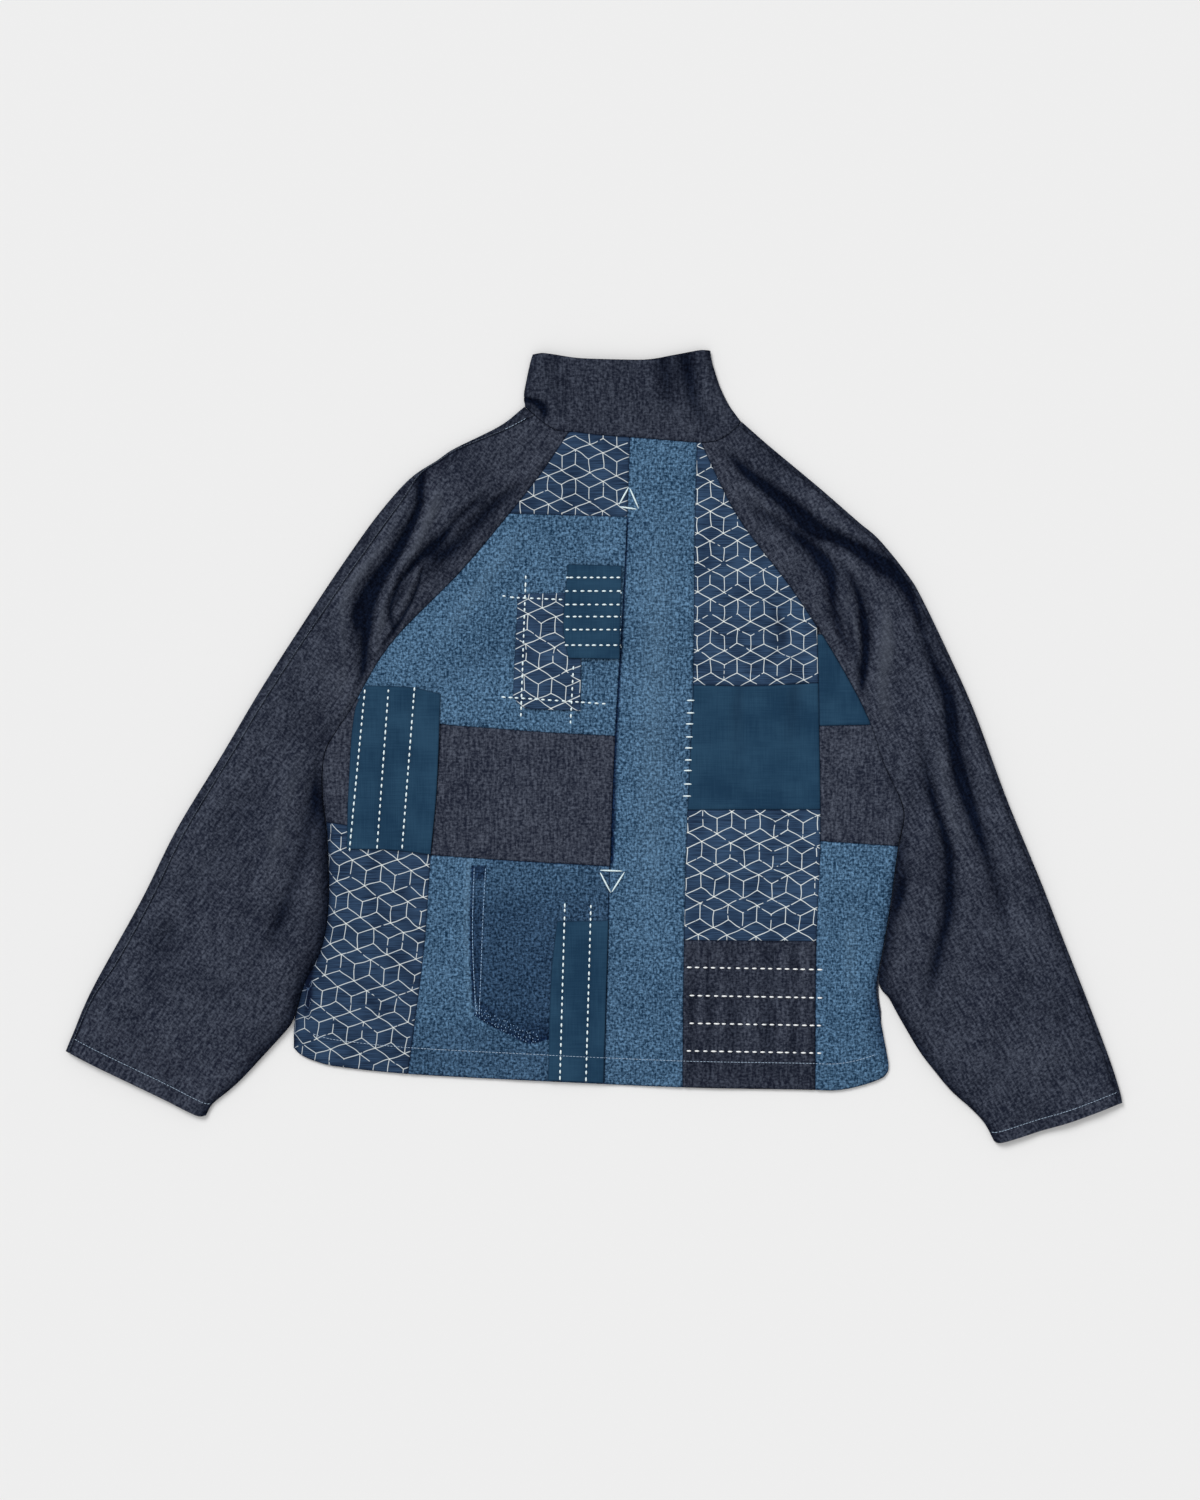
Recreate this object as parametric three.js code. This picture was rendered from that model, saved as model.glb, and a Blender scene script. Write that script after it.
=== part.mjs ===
// A patched boro jacket, laid out flat with its back uppermost.
//
// The back is fourteen pieces of worn denim and cotton, seamed edge to edge, with four patches sewn
// over them. Raglan sleeves of dark denim run from the stand collar to the cuffs. Under the back lie
// the two plain fronts, which meet at the middle.
//
// Units are millimetres. X runs across the jacket, Y from the hem up to the collar, and Z up from the
// table that it lies on. Each piece of cloth is a closed wall round a middle surface.

import * as THREE from "three";

// --- driving dimensions ---------------------------------------------------------------------

const DENIM = 1.2; // thickness of the denim
const COTTON = 1.0; // thickness of a sewn-on cotton patch, turned edge and all
const SEAM = 0.44; // clear width between two pieces at a seam
const RESTS = DENIM / 2; // height of the middle of the cloth that lies on the table
const BACK = 4.2; // height of the middle of the back, over the fronts
const FOLD_END = 1.6; // height at which upper cloth ends at a side fold, just over the lower cloth
const HEM_DROP = 1.4; // how far the back's hem lies below the rest of the back
const HEM_FADE = 34; // depth over which the back comes down to its hem
const SIDE_ROLL = 15; // width over which the back rolls down at the side folds
const ARMPIT_FADE = 44; // length below the armpit over which that roll starts
const INSIDE = 1; // how far the cloth beneath stays inside the outline of the cloth above
const PLEAT_LAP = 3; // width of the tuck: how far the centre strip runs in under the pieces on its left
const PLEAT_STEP = 1.6; // how far it lies below them there
const WRAP = 3; // radius of the sleeve's fold where the lower cloth comes up round the arm

const INK = { color: "#2d3342", roughness: 0.88, metalness: 0 }; // unwashed dark denim
const SKY = { color: "#4d7596", roughness: 0.92, metalness: 0 }; // washed light denim
const TEAL = { color: "#24455e", roughness: 0.82, metalness: 0 }; // plain dyed cotton
const PRINT = { color: "#2f4063", roughness: 0.85, metalness: 0 }; // navy slub cotton, printed

// --- curves ------------------------------------------------------------------------------------

// A smooth function through [at, value] pairs: a cubic between neighbours, with the slope at each
// pair taken from the pairs on both sides of it.
function smoothThrough(pairs) {
  const sorted = [...pairs].sort((p, q) => p[0] - q[0]);
  const last = sorted.length - 1;
  const slope = sorted.map((_, i) => {
    const [a, b] = [sorted[Math.max(i - 1, 0)], sorted[Math.min(i + 1, last)]];
    return (b[1] - a[1]) / (b[0] - a[0]);
  });
  return (at) => {
    let i = 0;
    while (i < last - 1 && at > sorted[i + 1][0]) i++;
    const [[a0, v0], [a1, v1]] = [sorted[i], sorted[i + 1]];
    const step = a1 - a0;
    const t = (at - a0) / step;
    if (t < 0) return v0 + slope[i] * step * t;
    if (t > 1) return v1 + slope[i + 1] * step * (t - 1);
    const [t2, t3] = [t * t, t * t * t];
    return (
      v0 * (2 * t3 - 3 * t2 + 1) +
      slope[i] * step * (t3 - 2 * t2 + t) +
      v1 * (3 * t2 - 2 * t3) +
      slope[i + 1] * step * (t3 - t2)
    );
  };
}

// A line that runs up the jacket gives x for each y, and one that runs across it gives y for each x.
const upright = (points) => smoothThrough(points.map(([x, y]) => [y, x]));
const across = (points) => smoothThrough(points);

// 0 below the first edge, 1 above the second, and an S-curve between them.
const ease = (from, to, at) => THREE.MathUtils.smoothstep(at, from, to);

// A quarter round: 0 at the fold, rising to 1 at the given width from it.
function quarterRound(distance, width) {
  const d = THREE.MathUtils.clamp(distance / width, 0, 1);
  return Math.sqrt(1 - (1 - d) ** 2);
}

// --- outline of the jacket ---------------------------------------------------------------------

// Neck seam, from the left shoulder to the right shoulder.
const neckSeam = across([
  [-69, 339], [-51, 324], [-38, 316], [-20, 314], [9, 311], [72, 306], [103, 303.5], [121, 305],
  [136, 313], [147, 324],
]);
// Edge of the back on each side: the raglan seam down to the armpit, then the side fold to the hem.
const LEFT_ARMPIT = [-268, -5];
const RIGHT_ARMPIT = [309, -64];
const LEFT_RAGLAN = [[-25, 314], [-61, 262], [-134, 174], [-202, 104], [-243, 37], LEFT_ARMPIT];
const LEFT_SIDE = [
  LEFT_ARMPIT, [-271, -44], [-266, -90], [-265, -157], [-272, -200], [-287, -230], [-299, -276],
  [-300, -301],
];
const RIGHT_RAGLAN = [
  [107, 303], [144, 229], [200, 154], [243, 87], [274, 28], [289, -16], RIGHT_ARMPIT,
];
const RIGHT_SIDE = [
  RIGHT_ARMPIT, [304, -98], [296, -158], [289, -200], [282, -240], [286, -272], [294, -316],
  [294, -324],
];
const leftEdge = upright([...LEFT_RAGLAN, ...LEFT_SIDE.slice(1)]);
const rightEdge = upright([...RIGHT_RAGLAN, ...RIGHT_SIDE.slice(1)]);
const hem = across([
  [-300, -301], [-294, -307], [-282, -313], [-261, -319], [-186, -327], [-46, -334.5], [89, -340.5],
  [221, -343], [241, -343.5], [264, -339.5], [289, -330.5], [294, -324],
]);
// Where the two fronts meet, under the back.
const centreFront = upright([[35, 270], [16, -30], [-3, -338]]);

// --- seams of the patchwork ----------------------------------------------------------------------

const stripLeft = upright([[36, 308], [33, 229], [28, 127], [21, 10], [16, -120], [10, -337]]);
const stripRight = upright([[103, 303.5], [101, 231], [99, 61], [93.5, -63], [90, -193], [88.5, -341]]);
const leftColumn = upright([[-153, 49], [-153, 21.5], [-163, -108], [-170, -203], [-186, -327]]);
const rightColumn = upright([[223, 114], [225, 20], [226, -94], [222, -194], [221, -343]]);
const underPrintLeft = across([[-83, 232.5], [34, 229.5]]);
const overDarkLeft = across([[-237, 47.5], [-195, 31], [-153, 22.5], [-100, 18], [-46, 14], [21, 10.5]]);
const underDarkLeft = across([[-163, -108.5], [-74, -114.5], [16, -119.5]]);
const underDarkSide = across([[-267, -75.5], [-162, -91.5]]);
const underPrintRight = across([[99, 61.5], [156, 60.5], [223, 63.5]]);
const underTealRight = across([[93.5, -63.5], [225, -63]]);
const underPrintLow = across([[90, -193.5], [222, -194.5]]);
const underTealCorner = across([[225, 20.5], [276, 21.5]]);
const underDarkRight = across([[226, -94.5], [304, -99.5]]);
const tealCornerTop = across([[223, 112], [226, 112]]);
// The tuck beside the centre strip opens below the upper print and closes at the lower seam.
const pleatStep = (y) => PLEAT_STEP * ease(-120, -104, y) * (1 - ease(212, 228, y));
const pleatLap = (y) => PLEAT_LAP * ease(-100, -80, y) * (1 - ease(188, 208, y));
const pleatLine = (y) => stripLeft(y) - pleatLap(y);

// --- heights -------------------------------------------------------------------------------------

// Middle of the back's cloth over a point of the table: level, lower towards the hem, and rolled
// down to the fronts at the side folds below the armpits.
function backHeight(x, y) {
  const level = BACK - HEM_DROP * (1 - ease(0, HEM_FADE, y - hem(x)));
  const roll = (armpit, distance) =>
    ease(0, ARMPIT_FADE, armpit[1] - y) * (1 - quarterRound(distance, SIDE_ROLL));
  const left = roll(LEFT_ARMPIT, x - leftEdge(y));
  const right = roll(RIGHT_ARMPIT, rightEdge(y) - x);
  return FOLD_END + (level - FOLD_END) * (1 - left) * (1 - right);
}

// The centre strip dips under the tuck and comes back to the level of the back beside it.
function stripHeight(x, y) {
  const under = 1 - ease(1, 9, x - stripLeft(y));
  return backHeight(x, y) - pleatStep(y) * under;
}

// --- solids --------------------------------------------------------------------------------------

// A closed wall of the given thickness round a grid of points: a box with one segment between
// neighbouring points, whose own points are moved to the grid, half the thickness to each side.
function wall(grid, thickness) {
  const rows = grid.length - 1;
  const columns = grid[0].length - 1;
  const near = (i, j) => grid[THREE.MathUtils.clamp(i, 0, rows)][THREE.MathUtils.clamp(j, 0, columns)];
  const box = new THREE.BoxGeometry(1, 1, 1, columns, rows, 1);
  box.deleteAttribute("normal");
  box.deleteAttribute("uv");
  const place = box.attributes.position;
  const [alongRow, alongColumn, out] = [new THREE.Vector3(), new THREE.Vector3(), new THREE.Vector3()];
  for (let k = 0; k < place.count; k++) {
    const j = Math.round((place.getX(k) + 0.5) * columns);
    const i = Math.round((place.getY(k) + 0.5) * rows);
    alongRow.subVectors(near(i, j + 1), near(i, j - 1));
    alongColumn.subVectors(near(i + 1, j), near(i - 1, j));
    out.crossVectors(alongRow, alongColumn).setLength(thickness * place.getZ(k));
    place.setXYZ(k, ...out.add(near(i, j)).toArray());
  }
  box.computeVertexNormals();
  return box;
}

// Fractions from 0 to 1 at which a piece has its points: even steps, with closer ones before a fold.
function steps(count, closeAt = "neither") {
  const even = Array.from({ length: count + 1 }, (_, i) => i / count);
  if (closeAt === "start") return even.map((f) => f ** 2);
  if (closeAt === "end") return even.map((f) => 1 - (1 - f) ** 2);
  return even;
}

// Points of a four-sided piece in plan. Each lies on the line that divides the space between the
// left and right seams and on the line that divides the space between the lower and upper seams.
// The crossing is found by going to the two lines in turn.
function fourSided({ left, right, low, high }, us, vs, height, gap = SEAM) {
  const CROSSINGS = 30;
  // Half of the gap, measured square to a line that leans at the given place.
  const half = (line, at) => (gap / 2) * Math.hypot(1, (line(at + 1) - line(at - 1)) / 2);
  const between = (f, lower, upper, at) =>
    THREE.MathUtils.lerp(lower(at) + half(lower, at), upper(at) - half(upper, at), f);
  return vs.map((v) =>
    us.map((u) => {
      let y = (low(0) + high(0)) / 2;
      let x = (left(y) + right(y)) / 2;
      for (let n = 0; n < CROSSINGS; n++) {
        y = between(v, low, high, x);
        x = between(u, left, right, y);
      }
      return new THREE.Vector3(x, y, height(x, y));
    }),
  );
}

// --- the jacket ------------------------------------------------------------------------------------

const jacket = new THREE.Group();

function add(name, geometry, finish) {
  const piece = new THREE.Mesh(geometry, new THREE.MeshStandardMaterial(finish));
  piece.name = name;
  jacket.add(piece);
}

// The back: seams round each piece, its finish, and how many rows and columns of points it has.
const backPieces = {
  back_print_upper_left: {
    left: leftEdge, right: stripLeft, low: underPrintLeft, high: neckSeam, finish: PRINT, size: [6, 4],
  },
  back_light_upper_left: {
    left: leftEdge, right: stripLeft, low: overDarkLeft, high: underPrintLeft, finish: SKY, size: [10, 8],
  },
  back_dark_middle_left: {
    left: leftColumn, right: stripLeft, low: underDarkLeft, high: overDarkLeft, finish: INK, size: [8, 4],
  },
  back_dark_side_left: {
    left: leftEdge, right: leftColumn, low: underDarkSide, high: overDarkLeft, finish: INK, size: [7, 8],
    fold: "left",
  },
  back_print_lower_left: {
    left: leftEdge, right: leftColumn, low: hem, high: underDarkSide, finish: PRINT, size: [7, 12],
    fold: "left",
  },
  back_light_lower_left: {
    left: leftColumn, right: stripLeft, low: hem, high: underDarkLeft, finish: SKY, size: [6, 9],
  },
  back_light_centre: {
    left: pleatLine, right: stripRight, low: hem, high: neckSeam, finish: SKY, height: stripHeight,
    columns: [0, 0.05, 0.16, 0.5, 1],
    rows: [-337, -331, -320, -303, -260, -200, -150, -120, -112, -104, -100, -90, -80, -40, 0, 40, 80, 120,
      160, 188, 198, 208, 212, 220, 228, 260, 306],
  },
  back_print_upper_right: {
    left: stripRight, right: (y) => Math.min(rightEdge(y), rightColumn(y)), low: underPrintRight,
    high: neckSeam, finish: PRINT, size: [5, 10],
  },
  back_teal_middle_right: {
    left: stripRight, right: rightColumn, low: underTealRight, high: underPrintRight, finish: TEAL,
    size: [4, 4],
  },
  back_print_lower_right: {
    left: stripRight, right: rightColumn, low: underPrintLow, high: underTealRight, finish: PRINT,
    size: [4, 4],
  },
  back_dark_lower_right: {
    left: stripRight, right: rightColumn, low: hem, high: underPrintLow, finish: INK, size: [4, 7],
  },
  back_teal_corner_right: {
    left: rightColumn, right: rightEdge, low: underTealCorner, high: tealCornerTop, finish: TEAL,
    size: [3, 6],
  },
  back_dark_side_right: {
    left: rightColumn, right: rightEdge, low: underDarkRight, high: underTealCorner, finish: INK,
    size: [6, 8], fold: "right",
  },
  back_light_side_right: {
    left: rightColumn, right: rightEdge, low: hem, high: underDarkRight, finish: SKY, size: [6, 12],
    fold: "right",
  },
};
for (const [name, piece] of Object.entries(backPieces)) {
  const closeAt = { left: "start", right: "end" }[piece.fold];
  const us = piece.columns ?? steps(piece.size[0], closeAt);
  const vs = piece.rows?.map((y) => THREE.MathUtils.inverseLerp(piece.rows[0], piece.rows.at(-1), y));
  const rows = vs ?? steps(piece.size[1], piece.low === hem ? "start" : "neither");
  const grid = fourSided(piece, us, rows, piece.height ?? backHeight);
  add(name, wall(grid, DENIM), piece.finish);
}

// Patches sewn over the back. Each takes the back's height at its own points, and lies one patch
// over it, or two where it overlaps another patch.
const PATCH_LIFT = DENIM / 2 + SEAM + COTTON / 2;
const patches = {
  patch_teal_tall: {
    left: upright([[-228, 61], [-239, 35], [-245, -39], [-247, -103]]),
    right: upright([[-153, 52.5], [-157, -43.5], [-163, -108]]),
    low: across([[-247, -102.5], [-202, -103.5], [-163, -108]]),
    high: across([[-228, 61], [-181, 59], [-153, 52.5]]),
    finish: TEAL, size: [4, 6], layer: 1,
  },
  patch_print_small: {
    left: upright([[-76, 152], [-81, 50]]),
    right: upright([[-12, 152], [-13.5, 35]]),
    low: across([[-81, 49], [-70, 39], [-42, 36.5], [-13.5, 35.5]]),
    high: across([[-76, 152], [-12, 154]]),
    finish: PRINT, size: [3, 5], layer: 1,
  },
  patch_teal_small: {
    left: upright([[-26, 182], [-31, 120], [-26, 88]]),
    right: upright([[28, 181], [25.5, 87]]),
    low: across([[-26, 88], [25, 87]]),
    high: across([[-26, 182], [27, 180.5]]),
    finish: TEAL, size: [3, 4], layer: 2,
  },
  patch_teal_strip: {
    left: upright([[-37, -174.5], [-43, -230], [-46, -334.5]]),
    right: upright([[14.5, -173.5], [9.5, -336]]),
    low: (x) => hem(x) + INSIDE,
    high: across([[-37, -174.5], [15, -173.5]]),
    finish: TEAL, size: [3, 7], layer: 1,
  },
};
for (const [name, piece] of Object.entries(patches)) {
  const [columns, rows] = piece.size;
  const lift = PATCH_LIFT + (piece.layer - 1) * (COTTON + SEAM);
  const rowsCloseAt = name === "patch_teal_strip" ? "start" : "neither";
  const height = (x, y) => backHeight(x, y) + lift;
  const grid = fourSided(piece, steps(columns), steps(rows, rowsCloseAt), height);
  add(name, wall(grid, COTTON), piece.finish);
}

// The fronts lie flat on the table under the back, cut to the same raglan and side lines.
function outlineSolid(points, thickness) {
  return new THREE.ExtrudeGeometry(new THREE.Shape(points), { depth: thickness, bevelEnabled: false });
}

// Points along a line between two places, both included.
function along(line, from, to, count, point) {
  return Array.from({ length: count + 1 }, (_, i) => {
    const at = THREE.MathUtils.lerp(from, to, i / count);
    return point(at, line(at));
  });
}
const onUpright = (y, x) => new THREE.Vector2(x, y);
const onAcross = (x, y) => new THREE.Vector2(x, y);

// Neckline of the fronts: it falls from the raglan seams to the centre front.
const FRONT_NECK_DROP = 34;
const [NECK_LEFT, NECK_RIGHT] = [LEFT_RAGLAN[0][0], RIGHT_RAGLAN[0][0]];
function frontNeck(x) {
  const f = THREE.MathUtils.clamp((x - NECK_LEFT) / (NECK_RIGHT - NECK_LEFT), 0, 1);
  return neckSeam(x) - FRONT_NECK_DROP * Math.sin(Math.PI * f) ** 2;
}

const centreAt = (y, inward) => centreFront(y) - (inward * SEAM) / 2;

// Outline of a front: down its raglan seam and side, along the hem, and back up to the neckline.
function front(edge, raglan, side, inward) {
  const [top, armpit] = [raglan[0], raglan.at(-1)];
  const bottom = side.at(-1)[1] + 4 * INSIDE;
  const below = (y) => 1 - ease(armpit[1], armpit[1] + ARMPIT_FADE, y);
  const outline = (y) => edge(y) + inward * THREE.MathUtils.lerp(SEAM * 0.7, INSIDE, below(y));
  const hemLine = (x) => hem(x) + 2 * INSIDE;
  const neckLine = (x) => frontNeck(x) - SEAM;
  const [neckX, hemX] = [centreAt(frontNeck(centreFront(270)), inward), centreAt(-337, inward)];
  return [
    ...along(outline, top[1] - 2 * SEAM, bottom, 30, onUpright),
    ...along(hemLine, outline(bottom) + inward * 4 * INSIDE, hemX, 9, onAcross),
    ...along(neckLine, neckX, top[0] + inward * 2 * INSIDE, 14, onAcross),
  ];
}
add("front_left", outlineSolid(front(leftEdge, LEFT_RAGLAN, LEFT_SIDE, 1), DENIM), INK);
add("front_right", outlineSolid(front(rightEdge, RIGHT_RAGLAN, RIGHT_SIDE, -1), DENIM), INK);

// The sleeves. A sleeve is a tube pressed flat, in two pieces: the upper one runs from the overarm
// seam over the arm to the underarm, and the lower one lies on the table and comes up round the
// outer fold to the overarm seam.
const sleeves = {
  left: {
    outer: [
      [-69, 339], [-94, 319.5], [-139, 297], [-156, 285.5], [-184, 266.5], [-215, 231.5], [-246, 188.5],
      [-279, 139.5], [-330, 60.5], [-371, -8.5], [-416, -82.5], [-452, -154.5], [-500, -241.5],
      [-520, -287.5], [-527, -304.5],
    ],
    cuff: [[-527, -304.5], [-494, -321.5], [-438, -348.5], [-404, -365.5], [-394, -369.5], [-388, -368.5]],
    inner: [
      [-274, -44], [-269, -95], [-268, -160], [-276, -205], [-291, -235], [-299, -262], [-303, -275],
      [-311, -286],
      [-324, -301.5], [-349, -328.5], [-364, -342.5], [-381, -356.5], [-388, -368.5],
    ],
    armpit: LEFT_ARMPIT,
    raglanTop: LEFT_RAGLAN[0],
    edge: leftEdge,
    overarm: 9,
    // Main folds: points along each, how far it rises (or falls, below zero), and its half width.
    folds: [
      {
        path: [[-176, 268], [-170, 242], [-200, 195], [-232, 138], [-228, 98], [-236, 62]],
        rise: -2.8, half: 11,
      },
      { path: [[-119, 241], [-148, 210], [-180, 178], [-204, 126]], rise: -2.4, half: 7 },
      { path: [[-141, 244], [-164, 214], [-192, 174], [-213, 120], [-216, 98]], rise: 3, half: 8 },
    ],
  },
  right: {
    outer: [
      [147, 324], [176, 298.5], [224, 258.5], [263, 224.5], [285, 205.5], [314, 169.5], [328, 145.5],
      [354, 91.5], [379, 35.5], [412, -53.5], [445, -133.5], [468, -192.5], [494, -258.5], [514, -311.5],
      [524, -342.5], [527, -356],
    ],
    cuff: [[527, -356], [481, -373.5], [446, -384], [418, -393], [405, -396], [400, -394]],
    inner: [
      [308, -98], [300, -158], [293, -200], [287, -236], [296, -251.5], [306, -271.5], [325, -303.5],
      [341, -324.5], [357, -343.5], [376, -360.5], [390, -375.5], [400, -394],
    ],
    armpit: RIGHT_ARMPIT,
    raglanTop: RIGHT_RAGLAN[0],
    edge: rightEdge,
    overarm: 4,
    folds: [
      { path: [[161, 278], [219, 224], [268, 190], [309, 171]], rise: -2.6, half: 8 },
      { path: [[115, 278], [183, 234], [236, 185]], rise: -2.4, half: 8 },
      { path: [[258, 128], [272, 96], [269, 52]], rise: -2.8, half: 9 },
      { path: [[206, 238], [262, 192], [300, 120], [302, 30]], rise: 3, half: 9 },
    ],
  },
};

const SLEEVE_ROWS = 30;
const UPPER_COLUMNS = 8;
const ARM = 5.7; // height of the middle of the upper cloth along the middle of the arm
const CUFF = 4.4; // the same at the cuff
const OUTER_ROLL = 30; // width over which the upper cloth rises from the outer fold
const INNER_ROLL = 26; // and from the underarm fold; from the raglan seam it takes twice that
const FOLD_CLEAR = 14; // the main folds die out over this distance from both edges
const FILLED = 0.16; // part of the sleeve's length over which the arm fills out at either end
const TURNS = 0.06; // and over which the raglan seam gives way to the underarm fold
const LOWEST = 2.8; // and no trough goes below this
const LOWER_FLAT = [0, 0.25, 0.5, 0.75, 1]; // points across the flat of the lower piece
const LOWER_TURN = [30, 60]; // degrees round the outer fold
const LOWER_TOP = [0, 0.12, 0.45, 1]; // and from there to the overarm seam

const vectors = (points) => points.map(([x, y]) => new THREE.Vector2(x, y));

// Distance from a place to a path of straight stretches.
function distanceTo(path, x, y) {
  const at = new THREE.Vector3(x, y, 0);
  const corners = path.map(([cx, cy]) => new THREE.Vector3(cx, cy, 0));
  const closest = new THREE.Vector3();
  const distances = corners.slice(1).map((corner, i) => {
    new THREE.Line3(corners[i], corner).closestPointToPoint(at, true, closest);
    return closest.distanceTo(at);
  });
  return Math.min(...distances);
}

for (const [side, sleeve] of Object.entries(sleeves)) {
  // The inner line follows the raglan seam to the armpit, and then the underarm to the cuff.
  const raglan = along(sleeve.edge, sleeve.raglanTop[1], sleeve.armpit[1], 14, onUpright);
  const inner = new THREE.SplineCurve([...raglan, ...vectors(sleeve.inner)]);
  const outer = new THREE.SplineCurve(vectors(sleeve.outer));
  const cuff = new THREE.SplineCurve(vectors(sleeve.cuff));
  const neck = new THREE.SplineCurve(along(neckSeam, sleeve.outer[0][0], sleeve.raglanTop[0], 8, onAcross));
  const MEASURES = 400;
  const armpitAt = inner.getSpacedPoints(MEASURES).findIndex((p) => p.y < sleeve.armpit[1]) / MEASURES;

  // A place in plan: s runs from neck to cuff, t from the outer fold to the inner line. It is the
  // straight line between the two, bent at its ends to the neck seam and to the cuff.
  function plan(s, t) {
    const bend = (end, at) => end.getPointAt(t).sub(outer.getPointAt(at).lerp(inner.getPointAt(at), t));
    const place = outer.getPointAt(s).lerp(inner.getPointAt(s), t);
    return place.addScaledVector(bend(neck, 0), 1 - s).addScaledVector(bend(cuff, 1), s);
  }

  // Middle of the upper cloth, at a distance from the outer fold and from the inner line.
  function upperHeight(s, fromOuter, fromInner, place) {
    const filled = ease(0, FILLED, s) * (1 - ease(1 - FILLED, 1, s));
    const crown = THREE.MathUtils.lerp(s < 0.5 ? BACK : CUFF, ARM, filled);
    const pastArmpit = ease(armpitAt, armpitAt + TURNS, s);
    const innerEnd = THREE.MathUtils.lerp(BACK, FOLD_END, pastArmpit);
    const rise = THREE.MathUtils.lerp(
      ease(0, INNER_ROLL * 2, fromInner),
      quarterRound(fromInner, INNER_ROLL),
      pastArmpit,
    );
    const outerEnd = RESTS + WRAP;
    const inside = innerEnd + (crown - innerEnd) * rise;
    const smooth = outerEnd + (inside - outerEnd) * quarterRound(fromOuter, OUTER_ROLL);
    const clear = ease(0, FOLD_CLEAR, fromOuter) * ease(0, FOLD_CLEAR, fromInner);
    const folds = sleeve.folds.map(
      (fold) => fold.rise * Math.exp(-((distanceTo(fold.path, place.x, place.y) / fold.half) ** 2)),
    );
    const folded = smooth + clear * folds.reduce((sum, fold) => sum + fold, 0);
    return Math.max(folded, Math.min(smooth, LOWEST));
  }

  // Rows from neck to cuff, closer together around the armpit.
  const end = SEAM / 2 / outer.getLength();
  const apart = steps(SLEEVE_ROWS / 2).map((f) => THREE.MathUtils.lerp(f, f ** 2, 0.5));
  const rows = [
    ...apart.map((f) => THREE.MathUtils.lerp(armpitAt, end, f)).reverse(),
    ...apart.slice(1).map((f) => THREE.MathUtils.lerp(armpitAt, 1 - end, f)),
  ];
  const nearArmpit = (s) => 1 - ease(0, TURNS, Math.abs(s - armpitAt));

  const upper = rows.map((s) => {
    const wide = outer.getPointAt(s).distanceTo(inner.getPointAt(s));
    const inset = SEAM / 2 + nearArmpit(s) * 2 * SEAM;
    return steps(UPPER_COLUMNS).map((f) => {
      const closer = THREE.MathUtils.lerp(f, 0.5 - 0.5 * Math.cos(Math.PI * f), 0.7);
      const d = THREE.MathUtils.lerp(sleeve.overarm + SEAM * 0.7, wide - inset, closer);
      const place = plan(s, d / wide);
      return new THREE.Vector3(place.x, place.y, upperHeight(s, d, wide - d, place));
    });
  });
  add(`sleeve_${side}_back`, wall(upper, DENIM), INK);

  const lower = rows.map((s) => {
    const wide = outer.getPointAt(s).distanceTo(inner.getPointAt(s));
    const inset = THREE.MathUtils.lerp(SEAM, INSIDE, ease(armpitAt - TURNS, armpitAt, s));
    const at = (d, height) => {
      const place = plan(s, d / wide);
      return new THREE.Vector3(place.x, place.y, height(d, place));
    };
    const flat = LOWER_FLAT.map((f) => at(THREE.MathUtils.lerp(wide - inset, WRAP, f), () => RESTS));
    const turn = LOWER_TURN.map((degrees) => {
      const angle = THREE.MathUtils.degToRad(degrees);
      return at(WRAP * (1 - Math.sin(angle)), () => RESTS + WRAP * (1 - Math.cos(angle)));
    });
    const top = LOWER_TOP.map((f) =>
      at(f * (sleeve.overarm - SEAM / 2), (d, place) => upperHeight(s, d, wide - d, place)),
    );
    return [...flat, ...turn, ...top];
  });
  add(`sleeve_${side}_front`, wall(lower, DENIM), INK);
}

// The stand collar: one band at the back of the neck, and its two front ends flat beneath it.
const collarLeft = upright([[-69, 339], [-70, 350], [-67, 367], [-63.5, 383], [-61, 391.5]]);
const collarRight = upright([
  [147, 324], [135, 340.5], [126, 358.5], [120.5, 374.5], [117, 387], [116, 395.5],
]);
const collarTop = across([
  [-61, 391.5], [-50, 392.5], [-14, 387.5], [36, 386], [56, 386.5], [78, 390.5], [106, 395.5], [116, 395.5],
]);
const COLLAR_ROLL = 14; // width over which the band rolls down at its two folds
const COLLAR_TOP = 5.3; // height of the middle of the band's cloth at its free edge
const BAND_COLUMNS = [0, 0.012, 0.05, 0.1, 0.16, 0.22, 0.3, 0.42, 0.55, 0.68, 0.8, 0.87, 0.93, 0.985, 1];
function collarHeight(x, y) {
  const up = y - neckSeam(x);
  const level = THREE.MathUtils.lerp(BACK, COLLAR_TOP, ease(0, collarTop(x) - neckSeam(x), up));
  const roll = quarterRound(x - collarLeft(y), COLLAR_ROLL) * quarterRound(collarRight(y) - x, COLLAR_ROLL);
  return level - (level - FOLD_END) * (1 - roll) * ease(0, COLLAR_ROLL, up);
}
const band = { left: collarLeft, right: collarRight, low: neckSeam, high: collarTop };
add("collar_back", wall(fourSided(band, BAND_COLUMNS, steps(5), collarHeight), DENIM), INK);

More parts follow.
